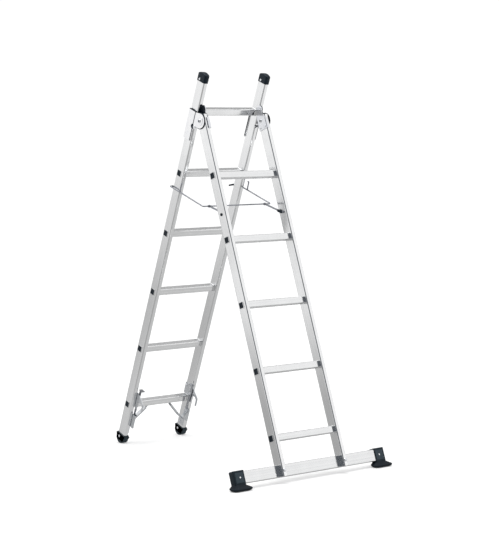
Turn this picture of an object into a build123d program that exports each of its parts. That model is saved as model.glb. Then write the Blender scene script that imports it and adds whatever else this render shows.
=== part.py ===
# Combination ladder of two sections, standing open as an A-frame.
# Millimetres, +Z up, the climbing side faces -Y. Each section is drawn upright,
# as in the closed ladder, with Y and Z measured from the hinge axis, and is then
# leaned about that axis. Right-hand pieces are drawn and the left ones mirrored.
from build123d import *
import os
from math import cos, radians, sin, sqrt

# Whole ladder
RUNG_PITCH = 280.0
LADDER_WIDTH = 350.0        # over the outer faces of the stiles
FRONT_LEAN = 20.0           # degrees from upright
REAR_LEAN = 20.8
SECTION_GAP = 11.0          # between the stiles of the closed ladder
FRONT_RUNGS = 5
REAR_RUNGS = 6
FRONT_FIRST_RUNG = -241.0   # highest rung of each section, from the hinge axis
REAR_FIRST_RUNG = 20.0
REAR_HEAD = 162.0           # end of the rear stile above its highest rung
REAR_TAIL = 165.0           # middle of the rounded foot below the lowest rung

# Clearances
FIT = 0.15                  # between fixed pieces, each side
SLIDE_CLEAR = 0.4           # guide to the rear stile
RUN_CLEAR = 0.05            # turning bores, on the radius
SIDE_CLEAR = 0.3            # between faces that move past each other
PASS_CLEAR = 1.4            # for rungs and beads that pass a fixed piece

# Stiles and rungs
STILE_DEPTH = 50.0
STILE_WIDTH = 21.0
STILE_WALL = 1.8
STILE_CORNER = 5.0
RUNG_SIZE = 29.0
RUNG_WALL = 2.0
RUNG_CORNER = 4.0
RUNG_SET_BACK = 4.0         # rung line behind the middle of the stile
BEAD_HEIGHT = 1.5           # swaged bead that holds the rung at the inner face
BEAD_LENGTH = 4.0
RIM_SPREAD = 1.0            # flared rim that holds it at the outer face
RIM_THICK = 1.0
GRIP_COUNT = 5
GRIP_WIDTH = 1.6
GRIP_PITCH = 4.2
GRIP_DEPTH = 0.7
FACE_GROOVE = 2.0           # width of the line along the front and back of a rung
FACE_GROOVE_DEEP = 0.6
PLUG_LENGTH = 14.0
PLUG_PROUD = 0.6
PLUG_RECESS = 15.0

# Hinge
HINGE_BOLT = 10.0           # diameter
HINGE_HEAD = 16.0
HINGE_HEAD_HIGH = 2.6
HINGE_SOCKET = 6.0          # across flats
HINGE_SOCKET_DEEP = 2.2
HINGE_NUT = 16.0            # diameter of the low round nut
HINGE_NUT_HIGH = 2.6
SPACER_RADIUS = 35.0
EAR_RADIUS = 31.5
BOSS_RADIUS = 20.0
BOSS_HIGH = 1.0
GUIDE_SHEET = 2.4
GUIDE_ABOVE = 25.0
GUIDE_BELOW = 102.0
GUIDE_BEND = 2.0
STRIP_Y = 6.5               # black strip in the outer wall, behind the stile's front face
STRIP_WIDE = 5.0
STRIP_DEEP = 1.4
STRIP_EDGE = 1.2            # metal left in front of the strip
TRIM_HIGH = 4.0             # black trim on the top edge of the outer wall
PAD_THICK = 1.2             # black pad on the inner lip
PAD_INSET = 1.5
GUIDE_PIN = 3.5             # radius of the pin that runs in front of the rear stile
GUIDE_PIN_CLEAR = 1.5       # pin to the rear stile
GUIDE_PIN_Z = -37.0
GUIDE_PIN_HEAD = 5.5
GUIDE_PIN_HEAD_HIGH = 1.6
GUIDE_PIN_LUG = 7.5
BUSH_RADIUS = 5.5           # black bush on the inner end of the pin
BUTTON_RADIUS = 10.0
PLATE_SHEET = 4.0
PLATE_BEND = 3.0
PLATE_FLANGE = 9.0          # reach of the folded edge over the stile's front face
PLATE_EDGE = 1.0            # back edge set in from the back of the stile
PLATE_BELOW = 40.5
PLATE_SHOULDER = 12.0
PLATE_RIVET_FRONT = 10.0    # rivets from the stile's front and back faces
PLATE_RIVET_BACK = 9.5
PLATE_RIVET_Z = -30.0
PLATE_FOLD_DROP = 16.0      # top of the folded edge below the top of the stile
PLATE_NECK_IN = 10.5        # neck under the lobe, behind the stile's front face
PLATE_NECK_UP = 8.0         # neck above the top of the stile
PLATE_RELIEF = 0.8          # lobe to the rear stile that slides past it
LOBE_Y = -8.0
LOBE_Z = 51.0
CAP_HIGH = 7.0              # front top cap above the stile
CAP_LID = 1.6
CAP_SET_BACK = 12.0
CAP_TENON = 14.0
FIN_THICK = 4.0             # black stop fin on the outer side of the lobe
FIN_INSET = 0.5
STILE_END_CLEAR = 1.7       # front stile's top corner to the open rear stile

# Rivets
RIVET = 3.0                 # radius
RIVET_HEAD = 5.4
RIVET_HEAD_HIGH = 1.8
RIVET_TAIL = 4.2
RIVET_DIMPLE = 1.5          # radius of the hollow in the head
RIVET_DIMPLE_DEEP = 1.0

# End caps of the rear section
TOP_CAP_WALL = 2.0
TOP_CAP_HIGH = 32.0
TOP_CAP_ROOF = 4.0
TOP_CAP_CROWN = 8.0         # rise of the rounded top over the edges of the cap
FOOT_WALL = 3.0
FOOT_RISE = 15.0            # edge of the foot above the middle of its round
FOOT_EXTRA = 2.0            # radius of the round beyond half the foot's depth
CAP_RIVET_SHIFT = 6.5       # cap rivets behind the middle of the stile
CAP_RIVET_UP = 9.0          # top cap rivet above the cap's edge

# Crossbar and its feet
CROSSBAR_LENGTH = 805.0
CROSSBAR_HIGH = 50.0
CROSSBAR_DEPTH = 25.0
CROSSBAR_WALL = 2.0
CROSSBAR_CORNER = 3.0
CROSSBAR_RISE = 46.0        # middle of the crossbar above the floor
CROSSBAR_BOLT = 4.0         # radius
CROSSBAR_HEAD = 7.5
CROSSBAR_HEAD_HIGH = 4.0
CROSSBAR_NUT = 13.0
CROSSBAR_NUT_HIGH = 6.5
BLOCK_LENGTH = 54.0
BLOCK_WALL = 4.5            # over, under and at the end of the crossbar
BLOCK_SIDE = 2.5            # in front of it and behind it
BLOCK_ROUND = 3.0
SOLE_LENGTH = 102.0
SOLE_WIDTH = 50.0
SOLE_ROUND = 22.0
SOLE_FORWARD = 8.0          # middle of the sole in front of the leaning block
SOLE_CURL = 7.0             # bottom edge set in from the rim
SOLE_RIM_LOW = 8.0
SOLE_RIM_HIGH = 12.0
SOLE_NECK = 26.0
FOOT_SCREW = 3.8            # radius of the head
FOOT_SHANK = 2.0
FOOT_SCREW_HIGH = 1.5
FOOT_SCREW_IN = 23.0        # from the inner end of the block

# Spreader
LINK_PIVOT_Y = -2.0
LINK_PIVOT_Z = -411.0
LINK_LENGTH = 118.2
LINK_ANGLE = 34.5           # up from square to the front section
LINK_SHEET = 3.4
LINK_BAR = 7.0
LINK_EYE = 6.0
LINK_BOLT = 3.0             # radius
LINK_WASHER = 1.0
LINK_HEAD = 4.8
LINK_HEAD_HIGH = 3.0
LINK_CAP = 6.5
LINK_CAP_HIGH = 3.4
WIRE = 3.0                  # radius
WIRE_BEND = 9.0
LEG_CLEAR = 1.6             # leg to the guide's outer wall
TIP_CLEAR = 9.0             # tip to the back of the rear stile
TIP_Z = -332.0
TIP_REACH = 41.0
TIP_FALL = 6.0
FINGER_SHARE = 0.69         # place of the finger along the leg
FINGER_HIGH = 39.0
FINGER_BEND = 5.0
COLLAR_RADIUS = 5.4
COLLAR_LENGTH = 3.0

# Hooks, latches and braces at the foot of the rear section
HOOK_SHEET = 4.0
HOOK_MOUTH_CLEAR = 2.0      # mouth to a front rung, each side
HOOK_TOP = 70.0             # above the lowest rung
HOOK_BACK = 80.0
HOOK_PRONG = 7.5
HOOK_PRONG_LOW = -5.0
HOOK_HEEL = 10.0            # plate behind the mouth
HOOK_EASE = 3.0
TAB_TOP = -40.0             # top of the guide tab, below the lowest rung
TAB_BRACE_GAP = 3.5         # guide tab to the foot of the brace
TAB_FRONT = 12.0
TAB_BACK = 47.0
HOOK_RIVET_SIDE = 16.0      # from the middle of the stile
HOOK_RIVET_TOP = 56.0       # heights from the lowest rung
HOOK_RIVET_MID = 28.0
TAB_RIVET_IN = 13.0         # from the ends of the guide tab
LATCH_SHEET = 3.0
LATCH_PIN_Y = 27.0
LATCH_PIN_UP = 36.0
LATCH_UP = 84.0
LATCH_LOW = -42.0
LATCH_HUB = 8.0             # radii of the hub and of the upper and lower ends
LATCH_TIP = 6.0
LATCH_TOE = 5.0
LATCH_LEAN = 3.0            # upper end in front of the pin
LATCH_KICK = 5.0            # lower end behind the pin
LATCH_NOSE = 18.0           # nose in front of the pin
LATCH_NOSE_HIGH = 8.0
LATCH_TAB = 17.0
LATCH_TAB_WIDE = 24.0
BRACE_SHEET = 3.0
BRACE_WIDE = 16.0
BRACE_TAB = 34.0            # end of the brace under the rung
BRACE_FLANGE = 32.0         # end of the brace on the stile
BRACE_FOOT_CLEAR = 11.5     # brace to the edge of the rear foot
BRACE_FOOT_WIDE = 31.0
BRACE_FOOT_IN = 4.0         # foot of the brace behind the stile's front face
BRACE_LIP = 7.0
BRACE_RIVET_IN = 12.0
BRACE_RIVET = 2.5           # radius

# Positions that follow from the sizes above
OUTER_X = LADDER_WIDTH / 2
INNER_X = OUTER_X - STILE_WIDTH
STILE_X = OUTER_X - STILE_WIDTH / 2
FRONT_RUNG_Y = 0.0
FRONT_STILE_Y = FRONT_RUNG_Y - RUNG_SET_BACK
FRONT_FACE = FRONT_STILE_Y - STILE_DEPTH / 2
FRONT_BACK = FRONT_STILE_Y + STILE_DEPTH / 2
REAR_FACE = FRONT_BACK + SECTION_GAP
REAR_BACK = REAR_FACE + STILE_DEPTH
REAR_STILE_Y = REAR_FACE + STILE_DEPTH / 2
REAR_RUNG_Y = REAR_STILE_Y + RUNG_SET_BACK
BEAD_HALF = RUNG_SIZE / 2 + BEAD_HEIGHT
RUNG_END = OUTER_X + RIM_THICK
PLUG_END = RUNG_END + PLUG_PROUD
OPEN_COS = cos(radians(FRONT_LEAN + REAR_LEAN))
OPEN_SIN = sin(radians(FRONT_LEAN + REAR_LEAN))
FRONT_COS = cos(radians(FRONT_LEAN))
FRONT_SIN = sin(radians(FRONT_LEAN))
REAR_COS = cos(radians(REAR_LEAN))
REAR_SIN = sin(radians(REAR_LEAN))
FRONT_HEIGHTS = [FRONT_FIRST_RUNG - RUNG_PITCH * k for k in range(FRONT_RUNGS)]
REAR_HEIGHTS = [REAR_FIRST_RUNG - RUNG_PITCH * k for k in range(REAR_RUNGS)]
LOWEST = REAR_HEIGHTS[-1]
REAR_TOP = REAR_FIRST_RUNG + REAR_HEAD
FOOT_Z = LOWEST - REAR_TAIL
FOOT_RADIUS = STILE_DEPTH / 2 + FOOT_WALL + FOOT_EXTRA
REAR_BOTTOM = FOOT_Z - 2 * FOOT_WALL
HINGE_HEIGHT = FOOT_RADIUS - REAR_STILE_Y * REAR_SIN - FOOT_Z * REAR_COS
CROSSBAR_Y = FRONT_BACK - CROSSBAR_DEPTH / 2
CROSSBAR_Z = (CROSSBAR_RISE - HINGE_HEIGHT + CROSSBAR_Y * FRONT_SIN) / FRONT_COS
CROSSBAR_TOP = CROSSBAR_Z + CROSSBAR_HIGH / 2
FRONT_BOTTOM = CROSSBAR_Z - CROSSBAR_HIGH / 2
FRONT_TOP = (REAR_FACE - STILE_END_CLEAR - FRONT_BACK * OPEN_COS) / OPEN_SIN
GUIDE_IN = PLUG_END + SIDE_CLEAR
GUIDE_OUT = GUIDE_IN + GUIDE_SHEET
GUIDE_LIP = INNER_X - SLIDE_CLEAR
LEG_X = GUIDE_OUT + LEG_CLEAR + WIRE
CAP_RIVET_Y = REAR_STILE_Y + CAP_RIVET_SHIFT
TOP_RIVET_Z = REAR_TOP + TOP_CAP_ROOF - TOP_CAP_HIGH + CAP_RIVET_UP
PLATE_IN = INNER_X - PLATE_SHEET
PLATE_RIVETS = [FRONT_FACE + PLATE_RIVET_FRONT, FRONT_BACK - PLATE_RIVET_BACK]
HOOK_OUT = INNER_X - SIDE_CLEAR
HOOK_IN = HOOK_OUT - HOOK_SHEET
HOOK_RIVETS = [
    (REAR_STILE_Y + HOOK_RIVET_SIDE, LOWEST + HOOK_RIVET_TOP),
    (REAR_STILE_Y - HOOK_RIVET_SIDE, LOWEST + HOOK_RIVET_TOP),
    (REAR_STILE_Y + HOOK_RIVET_SIDE, LOWEST + HOOK_RIVET_MID),
]
LATCH_OUT = HOOK_IN - RIVET_HEAD_HIGH - SIDE_CLEAR
LATCH_IN = LATCH_OUT - LATCH_SHEET
BRACE_TOP = LOWEST - RUNG_SIZE / 2 - BRACE_SHEET / 2
BRACE_X = INNER_X - BRACE_SHEET / 2
BRACE_LOW = FOOT_Z + FOOT_RISE + BRACE_FOOT_CLEAR + BRACE_FLANGE
BRACE_BEND = BRACE_X - (BRACE_TOP - BRACE_LOW)
BRACE_INNER = BRACE_BEND - BRACE_TAB
BRACE_RIVET_X = BRACE_INNER + BRACE_RIVET_IN
BRACE_RIVET_Z = BRACE_LOW - BRACE_FLANGE + BRACE_RIVET_IN
TAB_HIGH = LOWEST + TAB_TOP
TAB_LOW = BRACE_LOW + TAB_BRACE_GAP
TAB_RIVETS = [
    (REAR_STILE_Y - HOOK_RIVET_SIDE, TAB_HIGH - TAB_RIVET_IN),
    (REAR_STILE_Y - HOOK_RIVET_SIDE, TAB_LOW + TAB_RIVET_IN),
]
LINK_OUT = INNER_X - LINK_WASHER - SIDE_CLEAR
LINK_IN = LINK_OUT - LINK_SHEET
LINK_COS = cos(radians(LINK_ANGLE))
LINK_SIN = sin(radians(LINK_ANGLE))
JOINT_Y = LINK_PIVOT_Y + LINK_LENGTH * LINK_COS
JOINT_Z = LINK_PIVOT_Z + LINK_LENGTH * LINK_SIN

nodes = {}


def save(name, *pieces):
    """Keep the solids of one node; they are placed and written at the end."""
    nodes[name] = [solid for piece in pieces for solid in piece.solids()]


def left(piece):
    return mirror(piece, about=Plane.YZ)


def front(piece):
    """Lean a piece of the front section about the hinge axis."""
    return Rot(-FRONT_LEAN, 0, 0) * piece


def rear(piece):
    """Lean a piece of the rear section, or of its guides, about the hinge axis."""
    return Rot(REAR_LEAN, 0, 0) * piece


def front_point(y, z):
    return (y * FRONT_COS + z * FRONT_SIN, z * FRONT_COS - y * FRONT_SIN)


def rear_point(y, z):
    return (y * REAR_COS - z * REAR_SIN, z * REAR_COS + y * REAR_SIN)


def across(sketch, x_from, x_to):
    """Solid between two X positions from an outline drawn as (Y, Z)."""
    return Pos(x_from, 0, 0) * extrude(Plane.YZ * sketch, x_to - x_from, dir=(1, 0, 0))


def along_y(sketch, y_from, y_to):
    """Solid between two Y positions from an outline drawn as (X, Z)."""
    return Pos(0, y_from, 0) * extrude(Plane.XZ * sketch, y_to - y_from, dir=(0, 1, 0))


def disc(y, z, radius, x_from, x_to):
    return across(Pos(y, z) * Circle(radius), x_from, x_to)


def rect(u_from, v_from, u_to, v_to):
    middle = Pos((u_from + u_to) / 2, (v_from + v_to) / 2)
    return middle * Rectangle(u_to - u_from, v_to - v_from)


def square(size, corner):
    return RectangleRounded(size, size, corner)


def hexagon(flats):
    return RegularPolygon(flats / sqrt(3), 6)


def domed(y, z, radius, x_flat, height):
    """Low head on the face at x_flat, rising along -X, or +X if height is negative."""
    low = min(x_flat, x_flat - height)
    high = max(x_flat, x_flat - height)
    head = disc(y, z, radius, low, high)
    crown = head.faces().sort_by(Axis.X)[0 if height > 0 else -1]
    return fillet(crown.edges(), 0.7 * abs(height))


def rivet_head(y, z, x_flat, height):
    """Rivet head with the hollow that the pulled pin leaves; height as for domed."""
    depth = RIVET_DIMPLE_DEEP if height > 0 else -RIVET_DIMPLE_DEEP
    low = min(x_flat - height, x_flat - height + depth)
    high = max(x_flat - height, x_flat - height + depth)
    hollow = disc(y, z, RIVET_DIMPLE, low, high)
    return domed(y, z, RIVET_HEAD, x_flat, height) - hollow


def blind_rivet(y, z, x_face, x_wall):
    """Rivet headed at x_face whose tail spreads behind a wall that ends at x_wall."""
    shank = disc(y, z, RIVET, x_face, x_wall + FIT)
    tail = disc(y, z, RIVET_TAIL, x_wall + FIT, x_wall + FIT + RIVET_HEAD_HIGH)
    return rivet_head(y, z, x_face, RIVET_HEAD_HIGH) + shank + tail


def strip(points, thickness):
    """Outline of a bent strip whose middle line runs through the points."""
    path = [Vector(*point) for point in points]
    ways = [(b - a).normalized() for a, b in zip(path, path[1:])]
    upper = []
    lower = []
    for k, here in enumerate(path):
        before = ways[max(k - 1, 0)]
        after = ways[min(k, len(ways) - 1)]
        mitre = before + after
        side = Vector(-mitre.Y, mitre.X).normalized()
        reach = thickness / 2 / side.dot(Vector(-after.Y, after.X))
        upper.append(here + side * reach)
        lower.append(here - side * reach)
    outline = [(v.X, v.Y) for v in lower + upper[::-1]]
    return Polygon(*outline, align=None)


def round_bar(points, bend):
    """Round wire bent through the points."""
    path = FilletPolyline(*points, radius=bend)
    return sweep(Plane(origin=path @ 0, z_dir=path % 0) * Circle(WIRE), path)


# Stiles, rungs and plugs

def stile(y_mid, rung_y, bottom, top, heights):
    tube = RectangleRounded(STILE_WIDTH, STILE_DEPTH, STILE_CORNER)
    tube -= RectangleRounded(
        STILE_WIDTH - 2 * STILE_WALL, STILE_DEPTH - 2 * STILE_WALL, STILE_CORNER - STILE_WALL
    )
    body = Pos(STILE_X, y_mid, bottom) * extrude(tube, top - bottom)
    hole = across(square(RUNG_SIZE + 2 * FIT, RUNG_CORNER), INNER_X - 1, OUTER_X + 1)
    for z in heights:
        body -= Pos(0, rung_y, z) * hole
    return body


def rung():
    """Square tube along X with a bead inside and a flared rim outside each stile."""
    bead_end = INNER_X - FIT
    bead_start = bead_end - BEAD_LENGTH
    body = across(square(RUNG_SIZE, RUNG_CORNER), -RUNG_END, RUNG_END)
    bead = across(square(2 * BEAD_HALF, RUNG_CORNER + BEAD_HEIGHT), bead_start, bead_end)
    bead = chamfer(bead.faces().sort_by(Axis.X)[0].edges(), 0.8 * BEAD_HEIGHT)
    rim_size = RUNG_SIZE + 2 * RIM_SPREAD
    rim = across(square(rim_size, RUNG_CORNER + RIM_SPREAD), OUTER_X + FIT, RUNG_END)
    body += bead + left(bead) + rim + left(rim)
    for k in range(GRIP_COUNT):
        y = (k - (GRIP_COUNT - 1) / 2) * GRIP_PITCH
        for side in (-1, 1):
            groove = Box(2 * bead_start, GRIP_WIDTH, 2 * GRIP_DEPTH)
            body -= Pos(0, y, side * RUNG_SIZE / 2) * groove
    for side in (-1, 1):
        groove = Box(2 * bead_start, 2 * FACE_GROOVE_DEEP, FACE_GROOVE)
        body -= Pos(0, side * RUNG_SIZE / 2, 0) * groove
    bore = square(RUNG_SIZE - 2 * RUNG_WALL, RUNG_CORNER - RUNG_WALL)
    return body - across(bore, -RUNG_END - 1, RUNG_END + 1)


def plug():
    """Square plug for the right-hand end of a rung."""
    size = RUNG_SIZE - 2 * RUNG_WALL - 2 * FIT
    body = across(square(size, RUNG_CORNER - RUNG_WALL), PLUG_END - PLUG_LENGTH, PLUG_END)
    body = chamfer(body.faces().sort_by(Axis.X)[-1].edges(), 0.8 * PLUG_PROUD)
    return body - across(square(PLUG_RECESS, RUNG_CORNER - RUNG_WALL), PLUG_END - 1, PLUG_END + 1)


plain_rung = rung()
plain_plug = plug()
plug_pair = [plain_plug, left(plain_plug)]

front_stile = stile(FRONT_STILE_Y, FRONT_RUNG_Y, FRONT_BOTTOM, FRONT_TOP, FRONT_HEIGHTS)
front_stile -= across(
    rect(CROSSBAR_Y - CROSSBAR_DEPTH / 2 - FIT, FRONT_BOTTOM - 1, FRONT_BACK + 1, CROSSBAR_TOP + FIT),
    INNER_X - 1,
    OUTER_X + 1,
)
front_stile -= disc(0, 0, HINGE_BOLT / 2 + FIT, INNER_X - 1, OUTER_X + 1)
front_stile -= disc(LINK_PIVOT_Y, LINK_PIVOT_Z, LINK_BOLT + FIT, INNER_X - 1, OUTER_X + 1)
for y in PLATE_RIVETS:
    front_stile -= disc(y, PLATE_RIVET_Z, RIVET + FIT, INNER_X - 1, STILE_X)
bolt_hole = Pos(STILE_X, CROSSBAR_Z) * Circle(CROSSBAR_BOLT + FIT)
front_stile -= along_y(bolt_hole, FRONT_FACE - 1, FRONT_STILE_Y)
save("front_left_stile", front(left(front_stile)))
save("front_right_stile", front(front_stile))
for k, z in enumerate(FRONT_HEIGHTS):
    save(f"front_rung_{k + 1}", front(Pos(0, FRONT_RUNG_Y, z) * plain_rung))
save("front_rung_plugs", *[front(Pos(0, FRONT_RUNG_Y, z) * p) for z in FRONT_HEIGHTS for p in plug_pair])

rear_stile = stile(REAR_STILE_Y, REAR_RUNG_Y, REAR_BOTTOM, REAR_TOP, REAR_HEIGHTS)
for z in (TOP_RIVET_Z, FOOT_Z):
    rear_stile -= disc(CAP_RIVET_Y, z, RIVET + FIT, INNER_X - 1, OUTER_X + 1)
for y, z in HOOK_RIVETS + TAB_RIVETS:
    rear_stile -= disc(y, z, RIVET + FIT, INNER_X - 1, STILE_X)
rear_stile -= disc(REAR_RUNG_Y, BRACE_RIVET_Z, BRACE_RIVET + FIT, INNER_X - 1, STILE_X)
save("rear_left_stile", rear(left(rear_stile)))
save("rear_right_stile", rear(rear_stile))
for k, z in enumerate(REAR_HEIGHTS):
    piece = plain_rung
    if z == LOWEST:
        for side in (-1, 1):
            hole = Cylinder(BRACE_RIVET + FIT, RUNG_SIZE)
            piece = piece - Pos(side * BRACE_RIVET_X, 0, -RUNG_SIZE / 2) * hole
    save(f"rear_rung_{k + 1}", rear(Pos(0, REAR_RUNG_Y, z) * piece))
save("rear_rung_plugs", *[rear(Pos(0, REAR_RUNG_Y, z) * p) for z in REAR_HEIGHTS for p in plug_pair])


# Hinge: front top caps, inner plates, bolts and spacers

def stop_y(z):
    """Back of the front top cap, which meets the rear stile when the ladder is open."""
    return (REAR_FACE - SIDE_CLEAR - z * OPEN_SIN) / OPEN_COS


def stop_side(outline):
    """The part of an outline that stays in front of the open rear stile."""
    reach = 4 * STILE_DEPTH
    front_side = Polygon(
        (stop_y(-reach), -reach),
        (stop_y(reach), reach),
        (stop_y(reach) - 2 * reach, reach),
        (-4 * reach, -reach),
        align=None,
    )
    return outline & front_side


lobe_limit = REAR_RUNG_Y - BEAD_HALF - PASS_CLEAR
lobe_radius = lobe_limit - LOBE_Y * OPEN_COS - LOBE_Z * OPEN_SIN
lobe_spot = Pos(LOBE_Y, LOBE_Z)
cap_top = FRONT_TOP + CAP_HIGH
cap_outline = rect(FRONT_FACE, FRONT_TOP, FRONT_BACK, FRONT_TOP + CAP_LID)
cap_outline += rect(FRONT_FACE + CAP_SET_BACK, FRONT_TOP, FRONT_BACK, cap_top)
front_cap = across(stop_side(cap_outline), INNER_X, OUTER_X)
fin = lobe_spot * Circle(lobe_radius - FIN_INSET)
fin += rect(FRONT_FACE + PLATE_NECK_IN + FIN_INSET, FRONT_TOP, FRONT_BACK, LOBE_Z)
front_cap += across(stop_side(fin), INNER_X - PLATE_RELIEF, INNER_X + FIN_THICK)
tenon = RectangleRounded(
    STILE_WIDTH - 2 * STILE_WALL - 2 * FIT,
    STILE_DEPTH - 2 * STILE_WALL - 2 * FIT,
    STILE_CORNER - STILE_WALL,
)
tenon = Pos(STILE_X, FRONT_STILE_Y, FRONT_TOP - CAP_TENON) * extrude(tenon, CAP_TENON + 1)
front_cap += tenon & Pos(STILE_X, 0, 0) * Box(STILE_WIDTH, 4 * STILE_DEPTH, 2 * FRONT_TOP + 1)
save("stop_cap_left", front(left(front_cap)))
save("stop_cap_right", front(front_cap))

plate_back = FRONT_BACK - PLATE_EDGE
neck_front = FRONT_FACE + PLATE_NECK_IN
plate_outline = rect(FRONT_FACE, -PLATE_BELOW, plate_back, PLATE_SHOULDER)
plate_outline += Polygon(
    (FRONT_FACE, PLATE_SHOULDER - 1),
    (FRONT_FACE, PLATE_SHOULDER),
    (neck_front, FRONT_TOP + PLATE_NECK_UP),
    (LOBE_Y, FRONT_TOP + PLATE_NECK_UP),
    (LOBE_Y, PLATE_SHOULDER - 1),
    align=None,
)
lobe_root = rect(LOBE_Y, PLATE_SHOULDER - 1, plate_back, PLATE_SHOULDER)
plate_outline += make_hull((lobe_spot * Circle(lobe_radius)).edges() + lobe_root.edges())
plate_fold = rect(FRONT_FACE - PLATE_SHEET, -PLATE_BELOW, FRONT_FACE, FRONT_TOP - PLATE_FOLD_DROP)
hinge_plate = across(plate_outline, PLATE_IN, INNER_X)
past_stile = rect(FRONT_FACE - 1, FRONT_TOP, REAR_BACK, LOBE_Z + lobe_radius + 1)
hinge_plate -= across(past_stile, INNER_X - PLATE_RELIEF, INNER_X + 1)
hinge_plate += across(plate_fold, PLATE_IN, INNER_X + PLATE_FLANGE)
fold_edges = [edge for edge in hinge_plate.edges().filter_by(Axis.Z) if (
    abs(edge.center().X - PLATE_IN) < 0.01 and abs(edge.center().Y - FRONT_FACE + PLATE_SHEET) < 0.01)]
hinge_plate = fillet(fold_edges, PLATE_BEND)
hinge_plate -= disc(0, 0, HINGE_BOLT / 2 + FIT, PLATE_IN - 1, INNER_X + 1)
plate_rivets = []
for y in PLATE_RIVETS:
    hinge_plate -= disc(y, PLATE_RIVET_Z, RIVET + FIT, PLATE_IN - 1, INNER_X + 1)
    plate_rivets.append(blind_rivet(y, PLATE_RIVET_Z, PLATE_IN, INNER_X + STILE_WALL))
save("hinge_plate_left", front(left(hinge_plate)))
save("hinge_plate_right", front(hinge_plate))
save("hinge_plate_rivets", *[front(p) for r in plate_rivets for p in (r, left(r))])

spacer = disc(0, 0, SPACER_RADIUS, OUTER_X, GUIDE_IN - SIDE_CLEAR)
spacer -= disc(0, 0, HINGE_BOLT / 2 + FIT, OUTER_X - 1, GUIDE_IN)
save("hinge_spacers", front(spacer), front(left(spacer)))

head_face = GUIDE_OUT + BOSS_HIGH + SIDE_CLEAR
nut_face = PLATE_IN - HINGE_NUT_HIGH
hinge_bolt = disc(0, 0, HINGE_BOLT / 2, nut_face, head_face)
hinge_bolt += domed(0, 0, HINGE_HEAD / 2, head_face, -HINGE_HEAD_HIGH)
head_top = head_face + HINGE_HEAD_HIGH
hinge_bolt -= across(hexagon(HINGE_SOCKET), head_top - HINGE_SOCKET_DEEP, head_top + 1)
hinge_bolt -= across(hexagon(HINGE_SOCKET), nut_face - 1, nut_face + HINGE_SOCKET_DEEP)
save("hinge_bolts", front(hinge_bolt), front(left(hinge_bolt)))
hinge_nut = domed(0, 0, HINGE_NUT / 2, PLATE_IN, HINGE_NUT_HIGH)
hinge_nut -= disc(0, 0, HINGE_BOLT / 2 + FIT, nut_face - 1, PLATE_IN + 1)
save("hinge_nuts", front(hinge_nut), front(left(hinge_nut)))


# Guides: brackets, black strips, trims and pads, guide pins, buttons and bushes

guide_back = REAR_BACK + SLIDE_CLEAR + GUIDE_SHEET
ear_root = REAR_FACE + STILE_CORNER
lip_back = REAR_RUNG_Y + BEAD_HALF + PASS_CLEAR
strip_front = REAR_FACE + STRIP_Y - STRIP_WIDE / 2
strip_back = strip_front + STRIP_WIDE
wall_front = strip_front - STRIP_EDGE
pin_y = REAR_FACE - GUIDE_PIN_CLEAR - GUIDE_PIN
pin_spot = Pos(pin_y, GUIDE_PIN_Z)

ear_base = rect(REAR_FACE - 2, -EAR_RADIUS, ear_root, GUIDE_ABOVE)
outer_wall = rect(wall_front, -GUIDE_BELOW, guide_back, GUIDE_ABOVE)
button_spot = Pos(strip_front + STRIP_WIDE / 2, GUIDE_PIN_Z)
notch = BUTTON_RADIUS + FIT
outer_wall -= button_spot * (Circle(notch) + rect(-2 * notch, -notch, 0, notch))
outer_wall += make_hull(Circle(EAR_RADIUS).edges() + ear_base.edges())
outer_wall -= button_spot * (Circle(notch) & rect(-STRIP_WIDE / 2 - FIT, -notch, notch, notch))
outer_wall += pin_spot * Circle(GUIDE_PIN_LUG)
bracket = across(outer_wall, GUIDE_IN, GUIDE_OUT)
bracket += across(
    rect(guide_back - GUIDE_SHEET, -GUIDE_BELOW, guide_back, GUIDE_ABOVE),
    GUIDE_LIP - GUIDE_SHEET,
    GUIDE_OUT,
)
lip = rect(lip_back, -GUIDE_BELOW, guide_back, GUIDE_ABOVE)
bracket += across(lip, GUIDE_LIP - GUIDE_SHEET, GUIDE_LIP)
bends = [edge for edge in bracket.edges().filter_by(Axis.Z) if (
    abs(edge.center().X - GUIDE_OUT) < 0.01 and abs(edge.center().Y - guide_back) < 0.01)]
bracket = fillet(bends, GUIDE_BEND)
bracket += disc(0, 0, BOSS_RADIUS, GUIDE_OUT - 1, GUIDE_OUT + BOSS_HIGH)
bracket -= disc(0, 0, HINGE_BOLT / 2 + RUN_CLEAR, GUIDE_IN - 1, GUIDE_OUT + BOSS_HIGH + 1)
bracket -= disc(pin_y, GUIDE_PIN_Z, GUIDE_PIN + FIT, GUIDE_IN - 1, GUIDE_OUT + 1)
channel = rect(strip_front, -GUIDE_BELOW - 1, strip_back, GUIDE_ABOVE + 1)
bracket -= across(channel, GUIDE_OUT - STRIP_DEEP, GUIDE_OUT + 1)
save("guide_bracket_left", rear(left(bracket)))
save("guide_bracket_right", rear(bracket))

strips = []
strip_ends = ((-GUIDE_BELOW, GUIDE_PIN_Z - notch - FIT), (GUIDE_PIN_Z + notch + FIT, GUIDE_ABOVE))
for low, high in strip_ends:
    strip_outline = rect(strip_front + FIT, low, strip_back - FIT, high)
    strips.append(across(strip_outline, GUIDE_OUT - STRIP_DEEP, GUIDE_OUT - FIT))
trim = rect(strip_front, GUIDE_ABOVE + FIT, guide_back - GUIDE_BEND, GUIDE_ABOVE + TRIM_HIGH)
trim = across(trim, GUIDE_IN, GUIDE_OUT)
trim = fillet(trim.edges().filter_by(Axis.Y).sort_by(Axis.Z)[-2:], GUIDE_SHEET / 3)
lip_face = GUIDE_LIP - GUIDE_SHEET
pad = across(
    rect(lip_back, PAD_INSET - GUIDE_BELOW, guide_back - PAD_INSET, GUIDE_ABOVE - PAD_INSET),
    lip_face - PAD_THICK,
    lip_face,
)
save("guide_pads", *[rear(p) for piece in (*strips, trim, pad) for p in (piece, left(piece))])

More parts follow.
